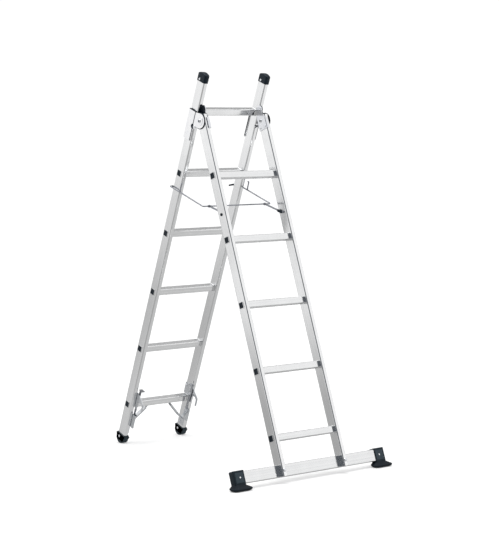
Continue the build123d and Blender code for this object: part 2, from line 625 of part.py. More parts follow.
button = button_spot * (Circle(BUTTON_RADIUS) & rect(-STRIP_WIDE / 2, -notch, notch, notch))
button = across(button, GUIDE_IN, GUIDE_OUT + BOSS_HIGH)
bush = disc(pin_y, GUIDE_PIN_Z, BUSH_RADIUS, lip_face - PAD_THICK, GUIDE_LIP)
bush -= disc(pin_y, GUIDE_PIN_Z, GUIDE_PIN + FIT, lip_face - 2 * PAD_THICK, INNER_X)
save("guide_buttons", *[rear(p) for piece in (button, bush) for p in (piece, left(piece))])
guide_pin = disc(pin_y, GUIDE_PIN_Z, GUIDE_PIN, lip_face - PAD_THICK, GUIDE_OUT)
guide_pin += domed(pin_y, GUIDE_PIN_Z, GUIDE_PIN_HEAD, GUIDE_OUT, -GUIDE_PIN_HEAD_HIGH)
save("guide_pins", rear(guide_pin), rear(left(guide_pin)))


# End caps of the rear section

def sleeve_bore(wall_low, wall_high):
    bore = RectangleRounded(STILE_WIDTH + 2 * FIT, STILE_DEPTH + 2 * FIT, STILE_CORNER)
    return Pos(STILE_X, REAR_STILE_Y, wall_low) * extrude(bore, wall_high - wall_low)


cap_low = REAR_TOP + TOP_CAP_ROOF - TOP_CAP_HIGH
cap_half = STILE_DEPTH / 2 + TOP_CAP_WALL
crown_radius = (cap_half ** 2 + TOP_CAP_CROWN ** 2) / (2 * TOP_CAP_CROWN)
crown_spot = Pos(REAR_STILE_Y, cap_low + TOP_CAP_HIGH + TOP_CAP_CROWN - crown_radius)
top_cap = RectangleRounded(STILE_WIDTH + 2 * TOP_CAP_WALL, 2 * cap_half, STILE_CORNER + TOP_CAP_WALL)
top_cap = Pos(STILE_X, REAR_STILE_Y, cap_low) * extrude(top_cap, TOP_CAP_HIGH + TOP_CAP_CROWN)
top_cap &= across(crown_spot * Circle(crown_radius), INNER_X - STILE_WIDTH, OUTER_X + STILE_WIDTH)
top_cap = fillet(top_cap.faces().sort_by(Axis.Z)[-1].edges(), TOP_CAP_WALL)
top_cap -= sleeve_bore(cap_low - 1, REAR_TOP + FIT)
top_cap -= disc(CAP_RIVET_Y, TOP_RIVET_Z, RIVET + FIT, INNER_X - 9, OUTER_X + 9)
save("top_cap_left", rear(left(top_cap)))
save("top_cap_right", rear(top_cap))

foot_half = STILE_DEPTH / 2 + FOOT_WALL
foot_side = rect(-foot_half, 0, foot_half, FOOT_RISE)
foot_side += Circle(FOOT_RADIUS) & rect(-foot_half, -FOOT_RADIUS, foot_half, 1)
foot_side = Pos(REAR_STILE_Y, FOOT_Z) * foot_side
rear_foot = across(foot_side, INNER_X - FOOT_WALL, OUTER_X + FOOT_WALL)
rim = [rear_foot.faces().sort_by(Axis.X)[0], rear_foot.faces().sort_by(Axis.X)[-1]]
rear_foot = chamfer([edge for face in rim for edge in face.edges()], FOOT_WALL / 2)
rear_foot -= sleeve_bore(REAR_BOTTOM - FIT, FOOT_Z + FOOT_RISE + 1)
rear_foot -= disc(CAP_RIVET_Y, FOOT_Z, RIVET + FIT, INNER_X - 9, OUTER_X + 9)
save("rear_foot_left", rear(left(rear_foot)))
save("rear_foot_right", rear(rear_foot))

cap_rivets = []
for z, wall in ((TOP_RIVET_Z, TOP_CAP_WALL), (FOOT_Z, FOOT_WALL)):
    cap_rivet = disc(CAP_RIVET_Y, z, RIVET, INNER_X - wall, OUTER_X + wall)
    cap_rivet += rivet_head(CAP_RIVET_Y, z, INNER_X - wall, RIVET_HEAD_HIGH)
    cap_rivet += rivet_head(CAP_RIVET_Y, z, OUTER_X + wall, -RIVET_HEAD_HIGH)
    cap_rivets.append(cap_rivet)
save("cap_rivets", *[rear(p) for r in cap_rivets for p in (r, left(r))])


# Crossbar, its bolts and its feet

bar = RectangleRounded(CROSSBAR_DEPTH, CROSSBAR_HIGH, CROSSBAR_CORNER)
bar -= RectangleRounded(
    CROSSBAR_DEPTH - 2 * CROSSBAR_WALL, CROSSBAR_HIGH - 2 * CROSSBAR_WALL, CROSSBAR_CORNER - CROSSBAR_WALL
)
bar = Pos(CROSSBAR_Y, CROSSBAR_Z) * bar
crossbar = across(bar, -CROSSBAR_LENGTH / 2, CROSSBAR_LENGTH / 2)
for side in (-1, 1):
    hole = Pos(side * STILE_X, CROSSBAR_Z) * Circle(CROSSBAR_BOLT + FIT)
    crossbar -= along_y(hole, FRONT_FACE, FRONT_BACK + 1)

bolt_spot = Pos(STILE_X, CROSSBAR_Z)
bolt_head = along_y(bolt_spot * Circle(CROSSBAR_HEAD), FRONT_FACE - CROSSBAR_HEAD_HIGH, FRONT_FACE)
bolt_head = fillet(bolt_head.faces().sort_by(Axis.Y)[0].edges(), 0.7 * CROSSBAR_HEAD_HIGH)
bolt_end = FRONT_BACK + CROSSBAR_NUT_HIGH + 2
crossbar_bolt = bolt_head + along_y(bolt_spot * Circle(CROSSBAR_BOLT), FRONT_FACE, bolt_end)
save("crossbar_bolts", front(crossbar_bolt), front(left(crossbar_bolt)))
crossbar_nut = along_y(
    bolt_spot * (hexagon(CROSSBAR_NUT) - Circle(CROSSBAR_BOLT + FIT)),
    FRONT_BACK,
    FRONT_BACK + CROSSBAR_NUT_HIGH,
)
save("crossbar_nuts", front(crossbar_nut), front(left(crossbar_nut)))

block_out = CROSSBAR_LENGTH / 2 + BLOCK_WALL
block_in = block_out - BLOCK_LENGTH
block_x = (block_out + block_in) / 2
block_front = CROSSBAR_Y - CROSSBAR_DEPTH / 2 - BLOCK_SIDE
block = RectangleRounded(
    CROSSBAR_DEPTH + 2 * BLOCK_SIDE, CROSSBAR_HIGH + 2 * BLOCK_WALL, CROSSBAR_CORNER + BLOCK_SIDE
)
block = across(Pos(CROSSBAR_Y, CROSSBAR_Z) * block, block_in, block_out)
block = fillet(block.faces().sort_by(Axis.X)[-1].edges(), BLOCK_ROUND)
pocket = RectangleRounded(CROSSBAR_DEPTH + 2 * FIT, CROSSBAR_HIGH + 2 * FIT, CROSSBAR_CORNER)
pocket = across(Pos(CROSSBAR_Y, CROSSBAR_Z) * pocket, block_in - SOLE_LENGTH, CROSSBAR_LENGTH / 2 + FIT)

floor = -HINGE_HEIGHT
lean_slope = FRONT_SIN / FRONT_COS
sole_y = front_point(CROSSBAR_Y, CROSSBAR_Z)[0] - CROSSBAR_RISE * lean_slope - SOLE_FORWARD
sole_at = Pos(block_x, sole_y, floor)
neck_at = Pos(0, SOLE_FORWARD + SOLE_NECK * lean_slope, SOLE_NECK)
neck_long = BLOCK_LENGTH - BLOCK_WALL
neck_wide = CROSSBAR_DEPTH + 2 * BLOCK_SIDE
under = RectangleRounded(SOLE_LENGTH - 2 * SOLE_CURL, SOLE_WIDTH - 2 * SOLE_CURL, SOLE_ROUND - SOLE_CURL)
rim_plan = RectangleRounded(SOLE_LENGTH, SOLE_WIDTH, SOLE_ROUND)
neck_plan = RectangleRounded(neck_long, neck_wide, BLOCK_ROUND)
sole = loft([under, Pos(0, 0, SOLE_RIM_LOW) * rim_plan], ruled=True)
sole += Pos(0, 0, SOLE_RIM_LOW) * extrude(rim_plan, SOLE_RIM_HIGH - SOLE_RIM_LOW)
sole += loft([Pos(0, 0, SOLE_RIM_HIGH) * rim_plan, neck_at * neck_plan], ruled=True)
crossbar_foot = sole_at * sole + front(block) - front(pocket)
screw_x = block_in + FOOT_SCREW_IN
screw_spot = Pos(screw_x, CROSSBAR_Z)
screw_hole = along_y(screw_spot * Circle(FOOT_SHANK + FIT), block_front - 1, CROSSBAR_Y)
crossbar_foot -= front(screw_hole)
crossbar -= screw_hole
crossbar -= left(screw_hole)
save("crossbar", front(crossbar))
save("crossbar_foot_left", left(crossbar_foot))
save("crossbar_foot_right", crossbar_foot)

screw_end = block_front + BLOCK_SIDE + 4 * CROSSBAR_WALL
screw = along_y(screw_spot * Circle(FOOT_SCREW), block_front - FOOT_SCREW_HIGH, block_front)
screw = fillet(screw.faces().sort_by(Axis.Y)[0].edges(), 0.7 * FOOT_SCREW_HIGH)
screw += along_y(screw_spot * Circle(FOOT_SHANK), block_front, screw_end)
save("crossbar_foot_screws", front(screw), front(left(screw)))


# Spreader: links, their bolts, and the wire bail

link = rect(0, -LINK_BAR / 2, LINK_LENGTH, LINK_BAR / 2)
link += Circle(LINK_EYE) + Pos(LINK_LENGTH, 0) * Circle(LINK_EYE)
link -= Circle(LINK_BOLT + RUN_CLEAR) + Pos(LINK_LENGTH, 0) * Circle(WIRE + RUN_CLEAR)
link = Pos(LINK_PIVOT_Y, LINK_PIVOT_Z) * Rot(0, 0, LINK_ANGLE) * link
link = across(link, LINK_IN, LINK_OUT)
save("spreader_link_left", front(left(link)))
save("spreader_link_right", front(link))

pivot = (LINK_PIVOT_Y, LINK_PIVOT_Z)
washer = disc(*pivot, LINK_EYE, INNER_X - LINK_WASHER, INNER_X)
washer -= disc(*pivot, LINK_BOLT + FIT, LINK_IN, INNER_X + 1)
save("spreader_washers", front(washer), front(left(washer)))
link_face = LINK_IN - SIDE_CLEAR
link_bolt_end = OUTER_X + LINK_CAP_HIGH / 2
link_bolt = disc(*pivot, LINK_BOLT, link_face, link_bolt_end)
link_bolt += domed(*pivot, LINK_HEAD, link_face, LINK_HEAD_HIGH)
save("spreader_bolts", front(link_bolt), front(left(link_bolt)))
link_cap = domed(*pivot, LINK_CAP, OUTER_X, -LINK_CAP_HIGH)
link_cap -= disc(*pivot, LINK_BOLT + FIT, OUTER_X - 1, link_bolt_end + FIT)
save("spreader_bolt_caps", front(link_cap), front(left(link_cap)))

joint = front_point(JOINT_Y, JOINT_Z)
tip = rear_point(REAR_BACK + TIP_CLEAR + WIRE, TIP_Z)
tip_end = rear_point(REAR_BACK + TIP_CLEAR + WIRE, TIP_Z - TIP_FALL)
leg_way = Vector(0, tip[0] - joint[0], tip[1] - joint[1])
leg_length = leg_way.length
leg_way = leg_way.normalized()
leg_up = Vector(0, -leg_way.Z, leg_way.Y)
rod_end = LEG_X - WIRE_BEND - 1
cross_rod = disc(*joint, WIRE, -rod_end, rod_end)
save("spreader_cross_rod", cross_rod)
leg = round_bar(
    [(rod_end, *joint), (LEG_X, *joint), (LEG_X, *tip), (LEG_X - TIP_REACH, *tip_end)], WIRE_BEND
)
finger_root = Vector(LEG_X, *joint) + leg_way * (FINGER_SHARE * leg_length)
finger_top = finger_root + leg_up * FINGER_HIGH
finger_end = Vector(PLUG_END + PASS_CLEAR, finger_top.Y, finger_top.Z)
leg += round_bar([finger_root, finger_top, finger_end], FINGER_BEND)
save("spreader_leg_left", left(leg))
save("spreader_leg_right", leg)

ring = Circle(COLLAR_RADIUS) - Circle(WIRE + FIT)
ring = Pos(*joint) * ring
inner_collar = across(ring, link_face - COLLAR_LENGTH, link_face)
outer_collar = across(ring, LINK_OUT + SIDE_CLEAR, LINK_OUT + SIDE_CLEAR + COLLAR_LENGTH)
save("spreader_collars", *[p for c in (inner_collar, outer_collar) for p in (c, left(c))])


# Hooks, latches and braces at the foot of the rear section

mouth = RUNG_SIZE / 2 + HOOK_MOUTH_CLEAR
prong_out = FRONT_RUNG_Y - mouth - HOOK_PRONG
neck_back = REAR_RUNG_Y - BEAD_HALF - PASS_CLEAR
over_bead = BEAD_HALF + PASS_CLEAR
hook_outline = Polygon(
    (HOOK_BACK, over_bead),
    (HOOK_BACK, HOOK_TOP),
    (REAR_FACE - 8, HOOK_TOP - 2),
    (prong_out + 1, 2 * mouth + 2),
    (prong_out, mouth + HOOK_PRONG),
    (prong_out, HOOK_PRONG_LOW),
    (FRONT_RUNG_Y + mouth + HOOK_HEEL, HOOK_PRONG_LOW),
    (neck_back, over_bead),
    align=None,
)
hook_outline = fillet(hook_outline.vertices(), HOOK_EASE)
hook_mouth = rect(-mouth, HOOK_PRONG_LOW - 1, mouth, mouth) + Pos(0, mouth) * Circle(mouth)
hook_outline -= Pos(FRONT_RUNG_Y, 0) * hook_mouth
hook = across(Pos(0, LOWEST) * hook_outline, HOOK_IN, HOOK_OUT)
tab = rect(TAB_FRONT, TAB_LOW, TAB_BACK, TAB_HIGH)
tab = across(fillet(tab.vertices(), HOOK_EASE), HOOK_IN, HOOK_OUT)
hook_rivets = []
for y, z in HOOK_RIVETS + TAB_RIVETS:
    hole = disc(y, z, RIVET + FIT, HOOK_IN - 1, HOOK_OUT + 1)
    hook -= hole
    tab -= hole
    hook_rivets.append(blind_rivet(y, z, HOOK_IN, INNER_X + STILE_WALL))
pin_z = LOWEST + LATCH_PIN_UP
hook -= disc(LATCH_PIN_Y, pin_z, RIVET + FIT, HOOK_IN - 1, HOOK_OUT + 1)
save("hook_plate_left", rear(left(hook)))
save("hook_plate_right", rear(hook))
save("hook_tabs", rear(tab), rear(left(tab)))
save("hook_rivets", *[rear(p) for r in hook_rivets for p in (r, left(r))])

pin_shoulder = LATCH_OUT + SIDE_CLEAR
latch_pin = disc(LATCH_PIN_Y, pin_z, RIVET, LATCH_IN - SIDE_CLEAR, HOOK_OUT - FIT)
latch_pin += disc(LATCH_PIN_Y, pin_z, RIVET_HEAD, pin_shoulder, HOOK_IN)
latch_pin += domed(LATCH_PIN_Y, pin_z, RIVET_HEAD, LATCH_IN - SIDE_CLEAR, RIVET_HEAD_HIGH)
save("latch_pins", rear(latch_pin), rear(left(latch_pin)))

latch_spot = Pos(LATCH_PIN_Y, LATCH_PIN_UP)
latch_hub = latch_spot * Circle(LATCH_HUB)
upper_end = Pos(LATCH_PIN_Y - LATCH_LEAN, LATCH_UP - LATCH_TIP) * Circle(LATCH_TIP)
lower_end = Pos(LATCH_PIN_Y + LATCH_KICK, LATCH_LOW) * Circle(LATCH_TOE)
nose_y = LATCH_PIN_Y - LATCH_NOSE
nose = Polygon(
    (LATCH_PIN_Y + LATCH_KICK, LATCH_LOW - LATCH_TOE),
    (LATCH_PIN_Y + LATCH_KICK, LATCH_LOW + LATCH_NOSE_HIGH),
    (nose_y + LATCH_NOSE_HIGH / 4, LATCH_LOW + 0.75 * LATCH_NOSE_HIGH),
    (nose_y, LATCH_LOW + LATCH_NOSE_HIGH / 4),
    align=None,
)
latch_outline = make_hull(latch_hub.edges() + upper_end.edges())
latch_outline += make_hull(latch_hub.edges() + lower_end.edges())
latch_outline += nose
latch_outline -= latch_spot * Circle(RIVET + RUN_CLEAR)
latch = across(Pos(0, LOWEST) * latch_outline, LATCH_IN, LATCH_OUT)
tab_front = LATCH_PIN_Y - LATCH_LEAN - LATCH_TAB_WIDE / 2
thumb = rect(
    tab_front, LOWEST + LATCH_UP - LATCH_SHEET, tab_front + LATCH_TAB_WIDE, LOWEST + LATCH_UP
)
latch += across(thumb, LATCH_OUT - LATCH_TAB, LATCH_OUT)
save("latch_left", rear(left(latch)))
save("latch_right", rear(latch))

brace_path = [
    (BRACE_INNER, BRACE_TOP),
    (BRACE_BEND, BRACE_TOP),
    (BRACE_X, BRACE_LOW),
    (BRACE_X, BRACE_LOW - BRACE_FLANGE),
]
brace_front = REAR_RUNG_Y - BRACE_WIDE / 2
brace_back = REAR_RUNG_Y + BRACE_WIDE / 2
lip_start = Vector(*brace_path[1]) * 0.9 + Vector(*brace_path[2]) * 0.1
lip_stop = Vector(*brace_path[1]) * 0.15 + Vector(*brace_path[2]) * 0.85
below = Vector(-1, -1).normalized() * (BRACE_LIP / 2)
lip_line = [(v.X, v.Y) for v in (lip_start + below, lip_stop + below)]
brace_strip = strip(brace_path, BRACE_SHEET)
lip = strip(lip_line, BRACE_LIP) - brace_strip
brace = along_y(brace_strip + lip, brace_front, brace_back)
foot_front = REAR_FACE + BRACE_FOOT_IN
foot_plate = rect(INNER_X - BRACE_SHEET, BRACE_LOW - BRACE_FLANGE, INNER_X, BRACE_LOW)
brace += along_y(foot_plate, foot_front, foot_front + BRACE_FOOT_WIDE)
brace -= along_y(lip, brace_front + BRACE_SHEET / 2, brace_back - BRACE_SHEET / 2)
hole = disc(REAR_RUNG_Y, BRACE_RIVET_Z, BRACE_RIVET + FIT, BRACE_X - BRACE_SHEET, INNER_X + 1)
brace -= hole
brace -= Pos(BRACE_RIVET_X, REAR_RUNG_Y, BRACE_TOP) * Cylinder(BRACE_RIVET + FIT, 2 * BRACE_SHEET)
save("brace_left", rear(left(brace)))
save("brace_right", rear(brace))

flange_face = INNER_X - BRACE_SHEET
side_rivet = disc(REAR_RUNG_Y, BRACE_RIVET_Z, BRACE_RIVET, flange_face, INNER_X + 2 * STILE_WALL)
side_rivet += domed(REAR_RUNG_Y, BRACE_RIVET_Z, RIVET_HEAD - 1, flange_face, RIVET_HEAD_HIGH)
tab_face = BRACE_TOP - BRACE_SHEET / 2
tab_rivet = Cylinder(RIVET_HEAD - 1, RIVET_HEAD_HIGH, align=(Align.CENTER, Align.CENTER, Align.MAX))
tab_rivet = fillet(tab_rivet.faces().sort_by(Axis.Z)[0].edges(), 0.7 * RIVET_HEAD_HIGH)
shank_up = BRACE_SHEET + 2 * RUNG_WALL
tab_rivet += Cylinder(BRACE_RIVET, shank_up, align=(Align.CENTER, Align.CENTER, Align.MIN))
tab_rivet = Pos(BRACE_RIVET_X, REAR_RUNG_Y, tab_face) * tab_rivet
save("brace_rivets", *[rear(p) for r in (side_rivet, tab_rivet) for p in (r, left(r))])


# Stand the ladder on the floor, centred, and write one file per node

bounds = Compound([solid for solids in nodes.values() for solid in solids]).bounding_box()
shift_y = -(bounds.min.Y + bounds.max.Y) / 2
stand = Pos(0, shift_y, HINGE_HEIGHT)
os.makedirs("parts", exist_ok=True)
for name, solids in nodes.items():
    placed = [stand * solid for solid in solids]
    export_step(placed[0] if len(placed) == 1 else Compound(placed), f"parts/{name}.step")


def report(label, point):
    print(label, round(point[0] + shift_y, 4), round(point[1] + HINGE_HEIGHT, 4))


print("nodes", len(nodes), "bounds", bounds.min, bounds.max)
report("hinge", (0, 0))
report("link pivot", front_point(LINK_PIVOT_Y, LINK_PIVOT_Z))
report("link to bail", joint)
report("tip", tip)
report("latch pin", rear_point(LATCH_PIN_Y, pin_z))
report("sole", (sole_y, floor))
report("hook mouth", rear_point(FRONT_RUNG_Y, LOWEST + mouth))
for z in FRONT_HEIGHTS:
    report("front rung", front_point(FRONT_RUNG_Y, z))
for z in REAR_HEIGHTS:
    report("rear rung", rear_point(REAR_RUNG_Y, z))
report("crossbar", front_point(CROSSBAR_Y, CROSSBAR_Z))
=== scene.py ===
# %% [markdown]
# # A combination ladder, dressed in Blender
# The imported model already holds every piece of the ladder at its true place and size. This lesson
# adds what the eye expects of the real thing: a camera, a plain studio, drawn aluminium,
# zinc-plated steel and moulded plastic, and a few pieces modelled by hand over the plain solids.
# Lengths are in metres and angles in degrees.

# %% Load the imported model
from math import atan2, floor as whole, radians, sqrt, tau

import bmesh
import bpy
from mathutils import Matrix, Vector


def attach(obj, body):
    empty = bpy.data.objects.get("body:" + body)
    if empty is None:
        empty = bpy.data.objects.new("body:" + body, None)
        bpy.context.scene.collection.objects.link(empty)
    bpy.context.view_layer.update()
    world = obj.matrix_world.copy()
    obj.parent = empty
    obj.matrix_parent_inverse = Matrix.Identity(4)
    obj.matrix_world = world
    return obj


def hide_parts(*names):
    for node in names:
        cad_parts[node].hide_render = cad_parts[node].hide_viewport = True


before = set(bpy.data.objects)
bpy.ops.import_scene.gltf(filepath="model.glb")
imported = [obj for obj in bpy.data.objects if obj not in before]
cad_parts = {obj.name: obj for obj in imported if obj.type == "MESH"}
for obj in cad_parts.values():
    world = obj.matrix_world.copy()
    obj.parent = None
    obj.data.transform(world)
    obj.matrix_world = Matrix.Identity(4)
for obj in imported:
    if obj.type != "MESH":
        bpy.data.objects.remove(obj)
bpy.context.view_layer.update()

# %% [markdown]
# ## Camera
# A product picture of something as tall as a ladder is taken from far off with a long lens, so that
# the stiles stay nearly parallel. The camera could be placed by eye, but a fitted place and lens
# keep every rung where the picture has it, and no lens shift is needed.

# %% Place the camera
CAMERA_PLACE = Vector((-4.5744, -5.8116, 1.4705))
TO_CAMERA = Vector((-0.6259, -0.7742, 0.0939)).normalized()
LENS = 111.02
SENSOR = 36.0

sideways = Vector((0, 0, 1)).cross(TO_CAMERA).normalized()
upwards = TO_CAMERA.cross(sideways)
camera_data = bpy.data.cameras.new("photo_camera")
camera_data.lens = LENS
camera_data.sensor_width = SENSOR
camera = bpy.data.objects.new("photo_camera", camera_data)
facing = Matrix((sideways, upwards, TO_CAMERA)).transposed().to_4x4()
camera.matrix_world = Matrix.Translation(CAMERA_PLACE) @ facing
bpy.context.scene.collection.objects.link(camera)
bpy.context.scene.camera = camera
print("camera", tuple(round(v, 3) for v in camera.location), "lens", LENS)

# %% [markdown]
# ## Studio
# Bright metal has little colour of its own: it shows the room. A photographer surrounds it with
# white panels and leaves the side of the camera darker, and that darker side draws the thin line
# along every rounded corner. Panels could be modelled and lit one by one, but the sky of the scene
# can hold them all: white all round, darker round the camera, and grey high up behind the right
# side, which the treads of the rear rungs mirror. The camera itself sees plain white paper.

# %% Helpers for node trees
def add(tree, kind, **settings):
    node = tree.nodes.new(kind)
    for key, value in settings.items():
        setattr(node, key, value)
    return node


def ramp(tree, source, stops):
    """Colour ramp over a 0 to 1 value; each stop is (place, grey or colour)."""
    node = add(tree, "ShaderNodeValToRGB")
    band = node.color_ramp.elements
    while len(band) < len(stops):
        band.new(0.5)
    for element, (place, colour) in zip(band, stops):
        element.position = place
        rgb = colour if isinstance(colour, tuple) else (colour,) * 3
        element.color = (*rgb, 1.0)
    tree.links.new(source, node.inputs["Fac"])
    return node.outputs["Color"]


def blended(tree, factor, one, other, kind="MIX"):
    """Mix of two colours; the factor is a number or a socket."""
    mix = add(tree, "ShaderNodeMix", data_type="RGBA", blend_type=kind)
    if isinstance(factor, float):
        mix.inputs["Factor"].default_value = factor
    else:
        tree.links.new(factor, mix.inputs["Factor"])
    tree.links.new(one, mix.inputs["A"])
    tree.links.new(other, mix.inputs["B"])
    return mix.outputs["Result"]


# %% Tones of the sky
DARK_SIDE = (0.12, 0.13, 0.145)
DARK_EDGE = (0.54, 0.76)    # cosines at which the tone begins and is full
HIGH_WAY = Vector((0.626, 0.516, 0.585)).normalized()
HIGH_GREY = 0.50
HIGH_EDGE = (0.66, 0.86)

studio = bpy.data.worlds.new("studio")
bpy.context.scene.world = studio
studio.use_nodes = True
sky = studio.node_tree
sky.nodes.clear()
sky_way = add(sky, "ShaderNodeTexCoord").outputs["Generated"]


def sky_patch(direction, edge, tone):
    """White sky that turns to a tone round a chosen direction."""
    nearness = add(sky, "ShaderNodeVectorMath", operation="DOT_PRODUCT")
    sky.links.new(sky_way, nearness.inputs[0])
    nearness.inputs[1].default_value = direction
    begin, full = edge
    return ramp(sky, nearness.outputs["Value"], [(begin, 1.0), (full, tone)])


dark_part = sky_patch(TO_CAMERA, DARK_EDGE, DARK_SIDE)
high_part = sky_patch(HIGH_WAY, HIGH_EDGE, HIGH_GREY)
sky_tone = blended(sky, 1.0, dark_part, high_part, "MULTIPLY")
print("sky tones", DARK_SIDE, HIGH_GREY)

# %% Room for the metal, paper for the camera
ROOM_LIGHT = 0.98
PAPER_LIGHT = 1.05

room = add(sky, "ShaderNodeBackground")
room.inputs["Strength"].default_value = ROOM_LIGHT
sky.links.new(sky_tone, room.inputs["Color"])
paper = add(sky, "ShaderNodeBackground")
paper.inputs["Color"].default_value = (1.0, 1.0, 1.0, 1.0)
paper.inputs["Strength"].default_value = PAPER_LIGHT
seen = add(sky, "ShaderNodeMixShader")
sky.links.new(add(sky, "ShaderNodeLightPath").outputs["Is Camera Ray"], seen.inputs["Fac"])
sky.links.new(room.outputs["Background"], seen.inputs[1])
sky.links.new(paper.outputs["Background"], seen.inputs[2])
sky.links.new(seen.outputs["Shader"], add(sky, "ShaderNodeOutputWorld").inputs["Surface"])
bpy.context.scene.view_settings.view_transform = "Standard"
print("sky nodes", len(sky.nodes))

# %% [markdown]
# ## Floor and lamps
# The floor is a sheet of pale paper, which runs up into the white wall with no line between them.
# In the metal the floor is a painted reflection: glossy rays see a glowing grey in its place, and
# its painted shade, darkest behind the ladder, is what lets the side faces of the stiles fade from
# light at the hinge to darker at the foot. One tone could serve everywhere, but the shade differs
# from place to place, so the floor keeps a second, painted tone for reflections that changes with
# the place along and across the ladder. A wide lamp above
# and a broad sun stand for the soft boxes under the ceiling.

# %% Floor
FLOOR_SIZE = 60.0
FIBRE_SCALE = 6.0
FIBRE_TONES = [(0.3, 0.70), (0.7, 0.72)]
FLOOR_GLOW = 0.36


def clear_selection():
    if bpy.context.object and bpy.context.object.mode != "OBJECT":
        bpy.ops.object.mode_set(mode="OBJECT")
    bpy.ops.object.select_all(action="DESELECT")


clear_selection()
bpy.ops.mesh.primitive_plane_add(size=FLOOR_SIZE)
floor = bpy.context.object
floor.name = "studio_floor"
paper_floor = bpy.data.materials.new("pale_paper")
paper_floor.use_nodes = True
tree = paper_floor.node_tree
tree.nodes.clear()
place = add(tree, "ShaderNodeTexCoord").outputs["Object"]
fibre = add(tree, "ShaderNodeTexNoise")
fibre.inputs["Scale"].default_value = FIBRE_SCALE
tree.links.new(place, fibre.inputs["Vector"])
bright = add(tree, "ShaderNodeBsdfDiffuse")
tree.links.new(ramp(tree, fibre.outputs["Fac"], FIBRE_TONES), bright.inputs["Color"])
glow = add(tree, "ShaderNodeEmission")
glow.inputs["Strength"].default_value = FLOOR_GLOW
white_floor = add(tree, "ShaderNodeAddShader")
tree.links.new(bright.outputs["BSDF"], white_floor.inputs[0])
tree.links.new(glow.outputs["Emission"], white_floor.inputs[1])
print("floor", floor.name)

# %% Painted reflection of the floor in the metal
ALONG = Vector((-0.626, 0.774, 0.0))
ACROSS = Vector((0.774, 0.626, 0.0))
ALONG_LIMITS = (-4.0, 16.0)
ACROSS_LIMITS = (-1.0, 1.0)
# tones of the painted reflection by place along the ladder; the low greys are painted shade
LEFT_PAINTED_REFLECTION = [(0.27, 0.42), (0.37, 0.60), (0.51, 0.88), (0.66, 0.92), (0.92, 0.72)]
FRONT_PAINTED_REFLECTION = [(0.06, 0.93), (0.095, 0.86), (0.115, 0.68), (0.15, 0.60), (0.21, 0.60)]
MIDDLE_PAINTED_REFLECTION = FRONT_PAINTED_REFLECTION + [(0.40, 0.96), (0.60, 0.92), (1.0, 0.92)]
RIGHT_PAINTED_REFLECTION = FRONT_PAINTED_REFLECTION + [(0.40, 0.48), (0.55, 0.47), (0.90, 0.70)]
LEFT_TO_MIDDLE = [(0.375, 0.0), (0.525, 1.0)]
MIDDLE_TO_RIGHT = [(0.60, 0.0), (0.66, 1.0)]


def floor_share(direction, limits):
    """How far a place of the floor lies along a direction, as a share of the limits."""
    dot = add(tree, "ShaderNodeVectorMath", operation="DOT_PRODUCT")
    tree.links.new(place, dot.inputs[0])
    dot.inputs[1].default_value = direction
    share = add(tree, "ShaderNodeMapRange")
    share.inputs["From Min"].default_value, share.inputs["From Max"].default_value = limits
    tree.links.new(dot.outputs["Value"], share.inputs["Value"])
    return share.outputs["Result"]


far = floor_share(ALONG, ALONG_LIMITS)
aside = floor_share(ACROSS, ACROSS_LIMITS)
left_painted_reflection = ramp(tree, far, LEFT_PAINTED_REFLECTION)
middle_painted_reflection = ramp(tree, far, MIDDLE_PAINTED_REFLECTION)
right_painted_reflection = ramp(tree, far, RIGHT_PAINTED_REFLECTION)
grey = blended(tree, ramp(tree, aside, LEFT_TO_MIDDLE), left_painted_reflection, middle_painted_reflection)
grey = blended(tree, ramp(tree, aside, MIDDLE_TO_RIGHT), grey, right_painted_reflection)
# painted reflection: glossy rays see this glowing grey in place of the lit paper
painted_reflection_floor = add(tree, "ShaderNodeEmission")
tree.links.new(grey, painted_reflection_floor.inputs["Color"])
either = add(tree, "ShaderNodeMixShader")
tree.links.new(add(tree, "ShaderNodeLightPath").outputs["Is Glossy Ray"], either.inputs["Fac"])
tree.links.new(white_floor.outputs["Shader"], either.inputs[1])
tree.links.new(painted_reflection_floor.outputs["Emission"], either.inputs[2])
tree.links.new(either.outputs["Shader"], add(tree, "ShaderNodeOutputMaterial").inputs["Surface"])
floor.data.materials.append(paper_floor)
print("floor nodes", len(tree.nodes))

# %% Soft boxes
LAMP_PLACE = Vector((-0.8, -0.6, 5.2))
LAMP_AIM = Vector((0.0, 0.0, 0.6))
LAMP_SIZE = 4.0
LAMP_WATTS = 60.0
CEILING_LIGHT = 1.0
CEILING_SPREAD = 70.0

lamp = bpy.data.lights.new("lamp_above", "AREA")
lamp.shape = "SQUARE"
lamp.size = LAMP_SIZE
lamp.energy = LAMP_WATTS
soft_box = bpy.data.objects.new("lamp_above", lamp)
soft_box.location = LAMP_PLACE
soft_box.rotation_euler = (LAMP_AIM - LAMP_PLACE).to_track_quat("-Z", "Y").to_euler()
bpy.context.scene.collection.objects.link(soft_box)
ceiling = bpy.data.lights.new("lamp_ceiling", "SUN")
ceiling.energy = CEILING_LIGHT
ceiling.angle = radians(CEILING_SPREAD)
bpy.context.scene.collection.objects.link(bpy.data.objects.new("lamp_ceiling", ceiling))

# %% [markdown]
# ## Drawn aluminium
# Stiles, rungs and the crossbar are pressed through a die, and the die leaves fine lines along the
# length. The lines could be a picture, but a noise stretched along the piece never repeats and
# costs nothing. The noise is turned with the section first, so that the lines follow the leaning
# stile.

# %% Helpers for finishes
def new_finish(name):
    finish = bpy.data.materials.new(name)
    finish.use_nodes = True
    tree = finish.node_tree
    return finish, tree, tree.nodes["Principled BSDF"]


def turned_coords(tree, lean, cell):
    """Object coordinates, turned back by the lean and divided by a cell size."""
    turn = add(tree, "ShaderNodeMapping", vector_type="TEXTURE")
    turn.inputs["Rotation"].default_value = (radians(lean), 0.0, 0.0)
    turn.inputs["Scale"].default_value = cell
    tree.links.new(add(tree, "ShaderNodeTexCoord").outputs["Object"], turn.inputs["Vector"])
    return turn.outputs["Vector"]


